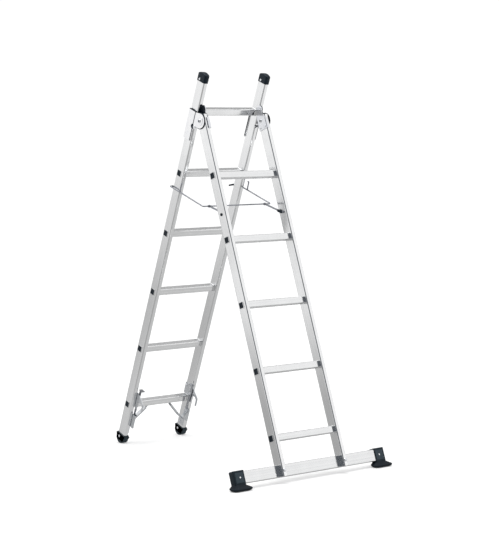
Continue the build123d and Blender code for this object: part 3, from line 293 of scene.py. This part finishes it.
def noise(tree, coords, detail=2.0, roughness=0.5):
    node = add(tree, "ShaderNodeTexNoise")
    node.inputs["Scale"].default_value = 1.0
    node.inputs["Detail"].default_value = detail
    node.inputs["Roughness"].default_value = roughness
    tree.links.new(coords, node.inputs["Vector"])
    return node.outputs["Fac"]


def bumped(tree, shader, height, depth, strength):
    bump = add(tree, "ShaderNodeBump")
    bump.inputs["Strength"].default_value = strength
    bump.inputs["Distance"].default_value = depth
    tree.links.new(height, bump.inputs["Height"])
    tree.links.new(bump.outputs["Normal"], shader.inputs["Normal"])


# %% Finish for drawn aluminium
FRONT_LEAN = -20.0
REAR_LEAN = 20.8
DIM_METAL = (0.865, 0.872, 0.880)
CLEAR_METAL = (0.930, 0.933, 0.936)
LINE_CELL = (0.0005, 0.09)  # width and length of a die line
BAND_CELL = (0.004, 0.9)
CLOUD_SIZE = 0.06
LINE_BUMP = (0.00002, 0.20)  # depth and strength


def streak(cell, along):
    width, length = cell
    return (width, width, length) if along == "Z" else (length, width, width)


def drawn_aluminium(name, lean, along, rough, level):
    """Aluminium with die lines along X or Z of the upright piece."""
    finish, tree, shader = new_finish(name)
    shader.inputs["Metallic"].default_value = 1.0
    lines = noise(tree, turned_coords(tree, lean, streak(LINE_CELL, along)))
    bands = noise(tree, turned_coords(tree, lean, streak(BAND_CELL, along)), detail=3.0)
    clouds = noise(tree, turned_coords(tree, lean, (CLOUD_SIZE,) * 3), detail=4.0)
    # painted shade: a brightness level below 1 darkens a whole copy of the same aluminium
    dim = tuple(level * value for value in DIM_METAL)
    clear = tuple(level * value for value in CLEAR_METAL)
    tone = ramp(tree, bands, [(0.30, dim), (0.70, clear)])
    dull = ramp(tree, clouds, [(0.35, 1.0), (0.75, 0.955)])
    tree.links.new(blended(tree, 1.0, tone, dull, "MULTIPLY"), shader.inputs["Base Color"])
    rub = ramp(tree, lines, [(0.25, 0.75 * rough), (0.75, 1.25 * rough)])
    haze = ramp(tree, clouds, [(0.30, 0.85), (0.80, 1.20)])
    tree.links.new(blended(tree, 1.0, rub, haze, "MULTIPLY"), shader.inputs["Roughness"])
    bumped(tree, shader, lines, *LINE_BUMP)
    return finish


# lean, run of the lines, mean roughness, brightness; a brightness below 1 is painted shade
front_stile_metal = drawn_aluminium("front_stile_metal", FRONT_LEAN, "Z", 0.13, 1.0)
rear_stile_metal = drawn_aluminium("rear_stile_metal", REAR_LEAN, "Z", 0.13, 0.95)
front_rung_metal = drawn_aluminium("front_rung_metal", FRONT_LEAN, "X", 0.14, 0.95)
rear_rung_metal = drawn_aluminium("rear_rung_metal", REAR_LEAN, "X", 0.14, 0.97)
crossbar_metal = drawn_aluminium("crossbar_metal", FRONT_LEAN, "X", 0.14, 0.93)
print("aluminium", [m.name for m in bpy.data.materials if m.name.endswith("_metal")])

# %% [markdown]
# ## Zinc-plated steel
# Hinge plates, hooks, latches, braces and the spreader are cut from steel and plated with zinc. The
# plating grows in small patches that catch the light a little differently. One grey would look like
# paint, so a cell pattern of a few millimetres varies both the grey and the roughness, and a fine
# grain breaks up the highlight.

# %% Finish for plated steel
STAIN_TONE = (0.90, 0.91, 0.94)
STAIN_SIZE = 0.02
STEEL_GRAIN = 0.0006
STEEL_BUMP = (0.00003, 0.25)


def even_noise(tree, size, detail=2.0, roughness=0.5):
    """Noise of one size in every direction."""
    return noise(tree, turned_coords(tree, 0.0, (size,) * 3), detail, roughness)


def plated_steel(name, light, dark, rough, spangle_size):
    """Steel whose plating lies in patches between a light and a dark grey."""
    finish, tree, shader = new_finish(name)
    shader.inputs["Metallic"].default_value = 1.0
    cells = add(tree, "ShaderNodeTexVoronoi")
    cells.inputs["Scale"].default_value = 1.0
    tree.links.new(turned_coords(tree, 0.0, (spangle_size,) * 3), cells.inputs["Vector"])
    grey = add(tree, "ShaderNodeRGBToBW")
    tree.links.new(cells.outputs["Color"], grey.inputs["Color"])
    spangle = ramp(tree, grey.outputs["Val"], [(0.2, dark), (0.8, light)])
    clouds = even_noise(tree, STAIN_SIZE, detail=4.0)
    stain = ramp(tree, clouds, [(0.35, 1.0), (0.80, STAIN_TONE)])
    tree.links.new(blended(tree, 1.0, spangle, stain, "MULTIPLY"), shader.inputs["Base Color"])
    rub = ramp(tree, grey.outputs["Val"], [(0.1, 0.85 * rough), (0.9, 1.15 * rough)])
    tree.links.new(rub, shader.inputs["Roughness"])
    bumped(tree, shader, even_noise(tree, STEEL_GRAIN), *STEEL_BUMP)
    return finish


# light grey, dark grey, mean roughness, size of a patch
plate_zinc = plated_steel("plate_zinc", (0.84, 0.85, 0.87), (0.74, 0.75, 0.78), 0.17, 0.005)
guide_zinc = plated_steel("guide_zinc", (0.97, 0.97, 0.97), (0.92, 0.92, 0.93), 0.16, 0.006)
hook_zinc = plated_steel("hook_zinc", (0.72, 0.735, 0.75), (0.62, 0.635, 0.65), 0.20, 0.005)
latch_zinc = plated_steel("latch_zinc", (0.46, 0.47, 0.49), (0.36, 0.37, 0.39), 0.24, 0.005)
wire_zinc = plated_steel("wire_zinc", (0.45, 0.46, 0.49), (0.31, 0.32, 0.35), 0.28, 0.003)
bolt_zinc = plated_steel("bolt_zinc", (0.86, 0.87, 0.88), (0.74, 0.75, 0.77), 0.18, 0.002)
print("steel", [m.name for m in bpy.data.materials if m.name.endswith("_zinc")])

# %% [markdown]
# ## Moulded plastic and rubber
# Caps, plugs, pads and spacers are black plastic from a mould that was etched to a fine grain; the
# soles are softer and duller. Plain black would lose their form, and real black has detail: a
# slight blue cast, paler rubbed patches and a grain that scatters the highlight. The grain is bump
# from a small noise, and the rubs come from a larger one.

# %% Finish for black mouldings
COOL_SHINE = (0.62, 0.84, 1.0, 1.0)
RUB_SIZE = 0.018
MOULD_BUMP = (0.00006, 0.35)
PLASTIC_BLACK = (0.0040, 0.0065, 0.0110)
PLASTIC_RUBBED = (0.010, 0.015, 0.023)
RUBBER_BLACK = (0.0040, 0.0055, 0.0085)
RUBBER_RUBBED = (0.009, 0.012, 0.017)
SHOE_BLACK = (0.008, 0.012, 0.016)
SHOE_RUBBED = (0.015, 0.020, 0.026)
# the rear shoes' black is their own colour, lightened to paint light into their shaded faces
REAR_SHOE = (0.012, 0.019, 0.024)
PANEL_BLACK = (0.028, 0.039, 0.047)
PANEL_RUBBED = (0.040, 0.052, 0.061)


def black_moulding(name, tint, rubbed, rough, grain_size, shine):
    """Moulded black with paler rubbed patches."""
    finish, tree, shader = new_finish(name)
    shader.inputs["Specular IOR Level"].default_value = shine
    shader.inputs["Specular Tint"].default_value = COOL_SHINE
    rubs = even_noise(tree, RUB_SIZE, detail=5.0, roughness=0.6)
    tree.links.new(ramp(tree, rubs, [(0.45, tint), (0.85, rubbed)]), shader.inputs["Base Color"])
    dulling = ramp(tree, rubs, [(0.3, 0.85 * rough), (0.8, 1.2 * rough)])
    tree.links.new(dulling, shader.inputs["Roughness"])
    bumped(tree, shader, even_noise(tree, grain_size), *MOULD_BUMP)
    return finish


# black, rubbed black, mean roughness, size of the grain, strength of the reflection
black_plastic = black_moulding("black_plastic", PLASTIC_BLACK, PLASTIC_RUBBED, 0.42, 0.0007, 0.28)
black_rubber = black_moulding("black_rubber", RUBBER_BLACK, RUBBER_RUBBED, 0.50, 0.0010, 0.20)
shoe_plastic = black_moulding("shoe_plastic", SHOE_BLACK, SHOE_RUBBED, 0.45, 0.0008, 0.30)
# rear shoes: own black plus painted light, with PANEL_BLACK as their lighter rubs
rear_shoe_plastic = black_moulding("rear_shoe_plastic", REAR_SHOE, PANEL_BLACK, 0.42, 0.0008, 0.30)
shoe_panel = black_moulding("shoe_panel", PANEL_BLACK, PANEL_RUBBED, 0.38, 0.0006, 0.30)
mouldings = (black_plastic, black_rubber, shoe_plastic, rear_shoe_plastic, shoe_panel)
print("mouldings", [m.name for m in mouldings])

# %% [markdown]
# ## Which node wears which finish
# The finishes could be given out piece by piece, but each node of the model gets its finish by
# name, so that a new rung or stile would be dressed with no further work. The first rule whose word
# is in the node's name decides.

# %% Dress the nodes
RULES = [
    ("plugs", black_plastic),
    ("bolt_caps", black_plastic),
    ("rivets", bolt_zinc),
    ("bolts", bolt_zinc),
    ("nuts", bolt_zinc),
    ("washers", bolt_zinc),
    ("screws", bolt_zinc),
    ("pins", bolt_zinc),
    ("_cap_", black_plastic),
    ("rear_foot", black_plastic),
    ("crossbar_foot", black_rubber),
    ("spacers", black_plastic),
    ("pads", black_plastic),
    ("buttons", black_plastic),
    ("front_rung", front_rung_metal),
    ("rear_rung", rear_rung_metal),
    ("front_left_stile", front_stile_metal),
    ("front_right_stile", front_stile_metal),
    ("rear_left_stile", rear_stile_metal),
    ("rear_right_stile", rear_stile_metal),
    ("crossbar", crossbar_metal),
    ("spreader", wire_zinc),
    ("guide_bracket", guide_zinc),
    ("hinge_plate", plate_zinc),
    ("hook", hook_zinc),
    ("latch", latch_zinc),
    ("brace", hook_zinc),
]
for name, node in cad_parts.items():
    finish = next(found for word, found in RULES if word in name)
    node.data.materials.clear()
    node.data.materials.append(finish)
print("dressed", len(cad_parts))

# %% [markdown]
# ## Tools for modelling by hand
# The mouldings of the ladder are softer than the plain solids, so a few of them are modelled again.
# Each one starts from a primitive, is shaped in edit mode, and is then leaned with its section.
# Faces could be picked by number, but numbers change with every step, so they are picked by where
# they lie and which way they look. A right-hand piece is copied, with its own mesh, for the left
# side.

# %% Taking, selecting and pulling
NEAR = 0.0001               # how close to a plane counts as on it
STRAIGHT = 0.9              # cosine from which a direction counts as along an axis


def take(piece):
    clear_selection()
    piece.select_set(True)
    bpy.context.view_layer.objects.active = piece


def edit(piece):
    take(piece)
    bpy.ops.object.mode_set(mode="EDIT")


def settle(piece):
    """Move the object's own place, turn and scale into its mesh."""
    take(piece)
    bpy.ops.object.transform_apply(location=True, rotation=True, scale=True)


def choose(kind, test):
    """Select by middle and normal for FACE or VERT, by middle and run for EDGE."""
    bpy.ops.mesh.select_mode(type=kind)
    bpy.ops.mesh.select_all(action="DESELECT")
    data = bpy.context.object.data
    mesh = bmesh.from_edit_mesh(data)
    if kind == "FACE":
        looks = [(f, f.calc_center_median(), f.normal) for f in mesh.faces]
    elif kind == "EDGE":
        ends = [(e, e.verts[0].co, e.verts[1].co) for e in mesh.edges]
        looks = [(e, (a + b) / 2, (b - a).normalized()) for e, a, b in ends]
    else:
        looks = [(v, v.co, v.normal) for v in mesh.verts]
    chosen = [item for item, middle, way in looks if test(middle, way)]
    for item in chosen:
        item.select_set(True)
    mesh.select_flush_mode()
    bmesh.update_edit_mesh(data)
    return len(chosen)


def pull(x, y, z):
    bpy.ops.mesh.extrude_region_move(TRANSFORM_OT_translate={"value": (x, y, z)})


# %% Placing and mirroring
HINGE = Vector((0.0, -0.0393672, 1.4540646))


def face_outwards(piece):
    edit(piece)
    bpy.ops.mesh.select_all(action="SELECT")
    bpy.ops.mesh.normals_make_consistent(inside=False)
    bpy.ops.object.mode_set(mode="OBJECT")


def lean_in(piece, lean, at):
    """Lean a piece drawn upright round its origin, which goes to a place of the section."""
    clear_selection()
    turn = Matrix.Rotation(radians(lean), 4, "X")
    piece.matrix_world = Matrix.Translation(HINGE) @ turn @ Matrix.Translation(at)
    settle(piece)


def copied(piece, name):
    """Copy with a mesh of its own."""
    other = piece.copy()
    other.data = piece.data.copy()
    other.name = name
    bpy.context.scene.collection.objects.link(other)
    return other


def flipped(piece, name):
    """Mirror image across the plane X = 0, with a mesh of its own."""
    other = copied(piece, name)
    other.scale.x = -1.0
    settle(other)
    face_outwards(other)
    return other


# %% Dressing a right-hand piece and its mirror image
SMOOTH_ANGLE = 32.0


def dress(piece, finish, body, node):
    take(piece)
    bpy.ops.object.shade_smooth_by_angle(angle=radians(SMOOTH_ANGLE))
    if finish:
        piece.data.materials.clear()
        piece.data.materials.append(finish)
    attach(piece, body)
    if node:
        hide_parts(node)
    print(piece.name, "faces", len(piece.data.polygons), "on", body)


def dress_pair(piece, finish, body, node=""):
    """Dress both sides; without a finish a piece keeps its own, and node is what it replaces."""
    other = flipped(piece, piece.name.replace("right", "left"))
    dress(piece, finish, body, node)
    dress(other, finish, body, node.replace("right", "left"))


# %% [markdown]
# ## Crossbar feet
# Each end of the crossbar sits in a moulded shoe: a leaning housing with a frame pressed into its
# faces, on a soft boat-shaped sole whose ends curl up from the floor. The sole could be sculpted,
# but a stadium-shaped ring that is pulled up and resized step by step gives the same curl with
# clean edges. The treads under it are strips pressed in. Housing and sole are then joined into one
# skin.

# %% Housing of a crossbar foot
SHOE_SIZE = (0.054, 0.030, 0.059)
SHOE_ROUND = (0.0035, 3)    # size and steps of the rounding
SHOE_FINISHES = [shoe_plastic, black_rubber, shoe_panel]
MOUTH_WALL = 0.0023
MOUTH_SHARE = 0.925         # how much of the inset's height stays open
MOUTH_DEEP = 0.04965


def block(name, size):
    """A box round the origin."""
    clear_selection()
    bpy.ops.mesh.primitive_cube_add(size=1.0)
    piece = bpy.context.object
    piece.name = name
    piece.scale = size
    settle(piece)
    return piece


def rounded(size, steps):
    bpy.ops.mesh.bevel(offset=size, segments=steps, affect="EDGES")


half_long, half_deep = SHOE_SIZE[0] / 2, SHOE_SIZE[1] / 2
right_shoe = block("crossbar_shoe_right", SHOE_SIZE)
for finish in SHOE_FINISHES:
    right_shoe.data.materials.append(finish)
edit(right_shoe)
choose("EDGE", lambda middle, run: abs(run.x) > STRAIGHT or middle.x > half_long - NEAR)
rounded(*SHOE_ROUND)
choose("FACE", lambda middle, way: way.x < -STRAIGHT)
bpy.ops.mesh.inset(thickness=MOUTH_WALL)
mouth = (-half_long, 0.0, 0.0)
bpy.ops.transform.resize(value=(1.0, 1.0, MOUTH_SHARE), center_override=mouth)
pull(MOUTH_DEEP, 0.0, 0.0)
print("housing", right_shoe.name)

# %% Panels of the housing
SHOE_AT = (0.380, 0.0085, -1.49534)
SHOE_FRAME = [(0.0036, 0.0), (0.0007, -0.0007), (0.0007, 0.0007)]
PANEL_REACH = 0.015


def press_in(steps):
    """Inset the chosen faces once for each pair of thickness and depth."""
    for thickness, depth in steps:
        bpy.ops.mesh.inset(thickness=thickness, depth=depth)


def shoe_side(middle, way):
    return abs(middle.y) > half_deep - NEAR


panels = choose("FACE", lambda at, way: shoe_side(at, way) or at.x > half_long - NEAR)
press_in(SHOE_FRAME)
choose("FACE", lambda at, way: shoe_side(at, way) and at.xz.length < PANEL_REACH)
right_shoe.active_material_index = SHOE_FINISHES.index(shoe_panel)
bpy.ops.object.material_slot_assign()
bpy.ops.object.mode_set(mode="OBJECT")
lean_in(right_shoe, FRONT_LEAN, SHOE_AT)
print("housing panels", panels)

# %% Sole of a crossbar foot
SOLE_AT = Vector((0.380, -0.5675579, 0.0))
SOLE_PLAN = (0.102, 0.050)
SOLE_RADIUS = 0.022
SOLE_POINTS = 48
SOLE_LEVELS = [             # height, length, width and how far the ring moves back
    (0.0000, 0.0800, 0.0310, 0.0),
    (0.0015, 0.0880, 0.0365, 0.0),
    (0.0045, 0.0960, 0.0440, 0.0),
    (0.0080, 0.1015, 0.0495, 0.0),
    (0.0100, 0.1020, 0.0500, 0.0),
    (0.0116, 0.1015, 0.0495, 0.0),
    (0.0127, 0.0990, 0.0480, 0.0008),
    (0.0160, 0.0830, 0.0430, 0.0048),
    (0.0205, 0.0640, 0.0365, 0.0106),
    (0.0260, 0.0495, 0.0300, 0.0174),
]

clear_selection()
bpy.ops.mesh.primitive_circle_add(
    vertices=SOLE_POINTS, radius=SOLE_RADIUS, fill_type="NGON", location=SOLE_AT
)
sole = bpy.context.object
settle(sole)
edit(sole)
for axis, size in enumerate(SOLE_PLAN):
    for side in (-1, 1):
        choose("VERT", lambda at, way: side * (at[axis] - SOLE_AT[axis]) > NEAR)
        step = Vector()
        step[axis] = side * (size / 2 - SOLE_RADIUS)
        bpy.ops.transform.translate(value=step)
bpy.ops.mesh.select_all(action="SELECT")
below = (0.0, *SOLE_PLAN, 0.0)
for level in SOLE_LEVELS:
    height, length, width, back = level
    if height > 0:
        pull(0.0, back - below[3], height - below[0])
    shrink = (length / below[1], width / below[2], 1.0)
    ring_middle = SOLE_AT + Vector((0.0, back, height))
    bpy.ops.transform.resize(value=shrink, center_override=ring_middle)
    below = level
face_outwards(sole)
print("sole levels", len(SOLE_LEVELS))

# %% Treads under the sole
TREAD = 0.008
TREAD_CUTS = range(-5, 6)
TREAD_EDGE = 0.0008
TREAD_DEEP = 0.0015
LEVEL_DOWN = -0.99          # the ends of the sole slope a little, and stay smooth


def underside(middle, way):
    return way.z < LEVEL_DOWN


def tread_strip(middle, way):
    return underside(middle, way) and round((middle.x - SOLE_AT.x) / TREAD) % 2 == 0


edit(sole)
for k in TREAD_CUTS:
    choose("FACE", underside)
    cut = (SOLE_AT.x + (k + 0.5) * TREAD, 0.0, 0.0)
    bpy.ops.mesh.bisect(plane_co=cut, plane_no=(1.0, 0.0, 0.0))
treads = choose("FACE", tread_strip)
bpy.ops.mesh.inset(thickness=TREAD_EDGE, depth=-TREAD_DEEP, use_individual=True)
bpy.ops.object.mode_set(mode="OBJECT")
print("tread strips", treads)

# %% Join housing and sole
for finish in SHOE_FINISHES:
    sole.data.materials.append(finish)
for face in sole.data.polygons:
    face.material_index = SHOE_FINISHES.index(black_rubber)
take(right_shoe)
join = right_shoe.modifiers.new("join", "BOOLEAN")
join.operation = "UNION"
join.solver = "EXACT"
join.object = sole
bpy.ops.object.modifier_apply(modifier=join.name)
bpy.data.objects.remove(sole)
dress_pair(right_shoe, None, "front_section", "crossbar_foot_right")

# %% [markdown]
# ## Feet and top caps of the rear section
# The rear stiles end in two mouldings: a rounded shoe that rolls on the floor as the ladder opens,
# and a soft-cornered cap on top. Both could be boxes with wide bevels, but the shoe's round has to
# be a true arc, so it is a short cylinder cut down to its lower half, with an upper edge pulled up
# round the stile and a pocket let in from above. Every second facet of the round is pressed in for
# grip. The cap is a block whose top is raised into a round crown, with generous bevels and one
# groove round its skirt.

# %% Rear foot
FOOT_RADIUS = 0.030
FOOT_DEEP = 0.028
FOOT_WIDE = 0.027
FOOT_FACETS = 64
FOOT_CUTS = [((0, 0, 1), 0.0), ((0, 1, 0), FOOT_DEEP), ((0, -1, 0), FOOT_DEEP)]
FOOT_ROUND = (0.0016, 3)
COLLAR_HIGH = 0.015
COLLAR_WALL = 0.00285
POCKET_DEEP = 0.02115
FLAT_ANGLE = 0.5


def wheel(name, points, radius, width):
    """A short cylinder round the origin, with its axis along X."""
    clear_selection()
    bpy.ops.mesh.primitive_cylinder_add(
        vertices=points, radius=radius, depth=width, rotation=(0.0, radians(90.0), 0.0)
    )
    piece = bpy.context.object
    piece.name = name
    settle(piece)
    return piece


def foot_side(middle, way):
    return abs(middle.x) > FOOT_WIDE / 2 - NEAR


right_foot = wheel("rear_shoe_right", FOOT_FACETS, FOOT_RADIUS, FOOT_WIDE)
edit(right_foot)
for outer_way, reach in FOOT_CUTS:
    bpy.ops.mesh.select_all(action="SELECT")
    edge = Vector(outer_way) * reach
    bpy.ops.mesh.bisect(plane_co=edge, plane_no=outer_way, use_fill=True, clear_outer=True)
choose("FACE", lambda middle, way: way.z > STRAIGHT)
pull(0.0, 0.0, COLLAR_HIGH)
bpy.ops.mesh.inset(thickness=COLLAR_WALL)
pull(0.0, 0.0, -POCKET_DEEP)
bpy.ops.mesh.select_all(action="SELECT")
bpy.ops.mesh.dissolve_limited(angle_limit=radians(FLAT_ANGLE))
choose("EDGE", lambda at, run: foot_side(at, run) and at.z < COLLAR_HIGH - NEAR)
rounded(*FOOT_ROUND)
print("foot", right_foot.name)

# %% Frame and grip of a rear foot
FOOT_AT = (0.1645, 0.057, -1.545)
FOOT_FRAME = [(0.0022, 0.0), (0.0006, -0.0006), (0.0006, 0.0006)]
GRIP_TOP = -0.005           # facets above this height stay smooth
GRIP_DOWN = -0.2            # and so do those that look less far down
GRIP_MIDDLE = 0.002         # half width of the strip that holds the facets' middles
GRIP_EDGE = 0.0004
GRIP_DEEP = 0.0008


def grip_facet(middle, way):
    facet = whole(atan2(middle.y, -middle.z) / (tau / FOOT_FACETS))
    on_round = way.z < GRIP_DOWN and middle.z < GRIP_TOP and abs(middle.x) < GRIP_MIDDLE
    return on_round and facet % 2 == 0


choose("FACE", foot_side)
press_in(FOOT_FRAME)
facets = choose("FACE", grip_facet)
bpy.ops.mesh.inset(thickness=GRIP_EDGE, depth=-GRIP_DEEP, use_individual=True)
bpy.ops.object.mode_set(mode="OBJECT")
lean_in(right_foot, REAR_LEAN, FOOT_AT)
face_outwards(right_foot)
dress_pair(right_foot, rear_shoe_plastic, "rear_section", "rear_foot_right")
print("grip facets", facets)

# %% Crown of a top cap
CAP_SIZE = (0.025, 0.054, 0.032)
CAP_ROUND = (0.007, 5)
CAP_CROWN = 0.008
CROWN_RADIUS = ((CAP_SIZE[1] / 2) ** 2 + CAP_CROWN ** 2) / (2 * CAP_CROWN)
CROWN_CUTS = range(-4, 5)
CROWN_STEP = 0.0045
CROWN_ROUND = (0.0035, 4)
CROWN_UP = 0.5              # faces of the crown look up at least this far
SAME_CUT = 0.00002

half_high = CAP_SIZE[2] / 2
right_cap = block("stile_cap_right", CAP_SIZE)
edit(right_cap)
choose("EDGE", lambda middle, run: abs(run.z) > STRAIGHT)
rounded(*CAP_ROUND)
for k in CROWN_CUTS:
    bpy.ops.mesh.select_all(action="SELECT")
    bpy.ops.mesh.bisect(plane_co=(0.0, CROWN_STEP * k, 0.0), plane_no=(0.0, 1.0, 0.0))
stations = sorted({round(v.co.y, 5) for v in bmesh.from_edit_mesh(right_cap.data).verts})
for y in stations:
    rise = sqrt(CROWN_RADIUS ** 2 - y ** 2) - CROWN_RADIUS + CAP_CROWN
    choose("VERT", lambda at, way: at.z > half_high - NEAR and abs(at.y - y) < SAME_CUT)
    bpy.ops.transform.translate(value=(0.0, 0.0, rise))
choose("FACE", lambda middle, way: way.z > CROWN_UP)
bpy.ops.mesh.region_to_loop()
rounded(*CROWN_ROUND)
print("crown stations", len(stations))

# %% Groove and hollow of a top cap
CAP_AT = (0.1645, 0.057, 0.170)
GROOVE_AT = -0.0095
GROOVE_EDGE = 0.0008
GROOVE_BED = 0.0004
GROOVE_DRAW = (0.955, 0.979, 1.0)
SKIRT_WALL = 0.00185
SKIRT_DEEP = 0.02815

for height in (-GROOVE_EDGE, -GROOVE_BED, GROOVE_BED, GROOVE_EDGE):
    bpy.ops.mesh.select_all(action="SELECT")
    bpy.ops.mesh.bisect(plane_co=(0.0, 0.0, GROOVE_AT + height), plane_no=(0.0, 0.0, 1.0))
groove = choose("VERT", lambda at, way: abs(at.z - GROOVE_AT) < GROOVE_BED + NEAR)
bpy.ops.transform.resize(value=GROOVE_DRAW, center_override=(0.0, 0.0, GROOVE_AT))
choose("FACE", lambda middle, way: way.z < -STRAIGHT and middle.z < NEAR - half_high)
bpy.ops.mesh.dissolve_faces()
bpy.ops.mesh.inset(thickness=SKIRT_WALL)
pull(0.0, 0.0, SKIRT_DEEP)
bpy.ops.object.mode_set(mode="OBJECT")
lean_in(right_cap, REAR_LEAN, CAP_AT)
face_outwards(right_cap)
dress_pair(right_cap, black_plastic, "rear_section", "top_cap_right")
print("groove points", groove)

# %% [markdown]
# ## Small black stoppers and covers
# Round stoppers close the sockets of the hinge bolts, a long cover hides the head of each spreader
# bolt, and soft sleeves keep the tips of the wire from scratching the rear stiles. Plain discs and
# tubes could stand for them, but their edges catch the light. All of them start as short cylinders:
# the stopper gets a crowned face, the cover is stretched along its link and hollowed for the bolt
# head, and the sleeve gets a round nose and a flared collar.

# %% Stoppers in the hinge bolts
STOPPER_PLACES = {          # place along X, and how the stopper gets there
    "outer": (0.1824, copied),
    "inner": (0.1482, flipped),
}
STOPPER_POINTS = 24
STEM_RADIUS = 0.0028
STEM_LONG = 0.0016
FLANGE_RADIUS = 0.0040
FLANGE_SEAT = 0.00005
FLANGE_THICK = 0.0006
FLANGE_FACE = [(0.0008, 0.0003), (0.0010, -0.0002)]

stopper = wheel("hinge_stopper", STOPPER_POINTS, STEM_RADIUS, STEM_LONG)
edit(stopper)
choose("FACE", lambda middle, way: way.x > STRAIGHT)
pull(FLANGE_SEAT, 0.0, 0.0)
spread = FLANGE_RADIUS / STEM_RADIUS
bpy.ops.transform.resize(value=(1.0, spread, spread))
pull(FLANGE_THICK, 0.0, 0.0)
press_in(FLANGE_FACE)
bpy.ops.object.mode_set(mode="OBJECT")
for spot, (x, make) in STOPPER_PLACES.items():
    right_stopper = make(stopper, f"hinge_stopper_{spot}_right")
    lean_in(right_stopper, FRONT_LEAN, (x, 0.0, 0.0))
    dress_pair(right_stopper, black_plastic, "front_section")
bpy.data.objects.remove(stopper)

# %% Covers on the spreader links
LINK_FOOT = Vector((0.1469, -0.1818168, 1.0685349))
LINK_HEAD = Vector((0.1469, -0.0673818, 1.0981299))
COVER_POINTS = 40
COVER_RADIUS = 0.0057
COVER_THICK = 0.0046
COVER_STRETCH = 0.0196
COVER_ROUND = (0.0014, 3)
COVER_WALL = 0.0006
COVER_HOLLOW = 0.0037

right_cover = wheel("link_cover_right", COVER_POINTS, COVER_RADIUS, COVER_THICK)
edit(right_cover)
choose("VERT", lambda at, way: at.y > NEAR)
bpy.ops.transform.translate(value=(0.0, COVER_STRETCH, 0.0))
choose("EDGE", lambda middle, run: middle.x < NEAR - COVER_THICK / 2)
rounded(*COVER_ROUND)
choose("FACE", lambda middle, way: way.x > STRAIGHT)
bpy.ops.mesh.inset(thickness=COVER_WALL)
pull(-COVER_HOLLOW, 0.0, 0.0)
bpy.ops.object.mode_set(mode="OBJECT")
link_run = LINK_HEAD - LINK_FOOT
right_cover.rotation_euler = (atan2(link_run.z, link_run.y), 0.0, 0.0)
right_cover.location = LINK_FOOT
settle(right_cover)
dress_pair(right_cover, black_plastic, "spreader_links")

# %% Sleeves on the spreader tips
TIP_BEND = Vector((0.1839, 0.166402, 1.1770825))
TIP_END = Vector((0.1429, 0.168532, 1.1714735))
SLEEVE_POINTS = 28
SLEEVE_LONG = 0.027
SLEEVE_RADIUS = 0.0037
SLEEVE_PAST = 0.0004        # how far its straight part runs past the wire
SLEEVE_NOSE = [(0.0012, 0.84), (0.0006, 0.60)]
SLEEVE_FLARE = 1.06
SLEEVE_COLLAR = [(-0.0018, 1.10), (-0.0008, 0.90)]


def draw_out(steps):
    """Pull the chosen face along Z and resize it, once for each step."""
    for rise, size in steps:
        pull(0.0, 0.0, rise)
        bpy.ops.transform.resize(value=(size, size, 1.0))


clear_selection()
bpy.ops.mesh.primitive_cylinder_add(
    vertices=SLEEVE_POINTS, radius=SLEEVE_RADIUS, depth=SLEEVE_LONG
)
right_sleeve = bpy.context.object
right_sleeve.name = "tip_sleeve_right"
edit(right_sleeve)
choose("FACE", lambda middle, way: way.z > STRAIGHT)
draw_out(SLEEVE_NOSE)
choose("FACE", lambda middle, way: way.z < -STRAIGHT)
bpy.ops.transform.resize(value=(SLEEVE_FLARE, SLEEVE_FLARE, 1.0))
draw_out(SLEEVE_COLLAR)
bpy.ops.object.mode_set(mode="OBJECT")
tip_way = (TIP_END - TIP_BEND).normalized()
right_sleeve.rotation_mode = "QUATERNION"
right_sleeve.rotation_quaternion = tip_way.to_track_quat("Z", "Y")
right_sleeve.location = TIP_END - tip_way * (SLEEVE_LONG / 2 - SLEEVE_PAST)
settle(right_sleeve)
right_sleeve.rotation_mode = "XYZ"
dress_pair(right_sleeve, black_plastic, "spreader_bail")

# %% [markdown]
# ## Weld beads
# The finger loops of the spreader are short wires welded on to its legs. Where they meet, the weld
# leaves a small swollen collar. A torus would stand off like a washer, so it is a ring pulled up
# and drawn in towards the finger.

# %% Weld beads at the finger loops
BAIL_PIVOT = Vector((0.1839, -0.0673818, 1.0981299))
FINGER_ROOT = Vector((0.1839, 0.0939289, 1.1526070))
BEAD_POINTS = 24
BEAD_LEVELS = [             # height and radius
    (0.0015, 0.0043),
    (0.0030, 0.0045),
    (0.0041, 0.0042),
    (0.0052, 0.0036),
    (0.0064, 0.0031),
]

clear_selection()
first_height, first_radius = BEAD_LEVELS[0]
bpy.ops.mesh.primitive_circle_add(vertices=BEAD_POINTS, radius=first_radius, fill_type="NGON")
right_bead = bpy.context.object
right_bead.name = "finger_weld_right"
edit(right_bead)
bpy.ops.transform.translate(value=(0.0, 0.0, first_height))
neighbours = zip(BEAD_LEVELS, BEAD_LEVELS[1:])
draw_out([(upper - lower, narrow / wide) for (lower, wide), (upper, narrow) in neighbours])
bpy.ops.object.mode_set(mode="OBJECT")
leg_run = TIP_BEND - BAIL_PIVOT
right_bead.rotation_euler = (atan2(leg_run.z, leg_run.y), 0.0, 0.0)
right_bead.location = FINGER_ROOT
settle(right_bead)
face_outwards(right_bead)
dress_pair(right_bead, wire_zinc, "spreader_bail")
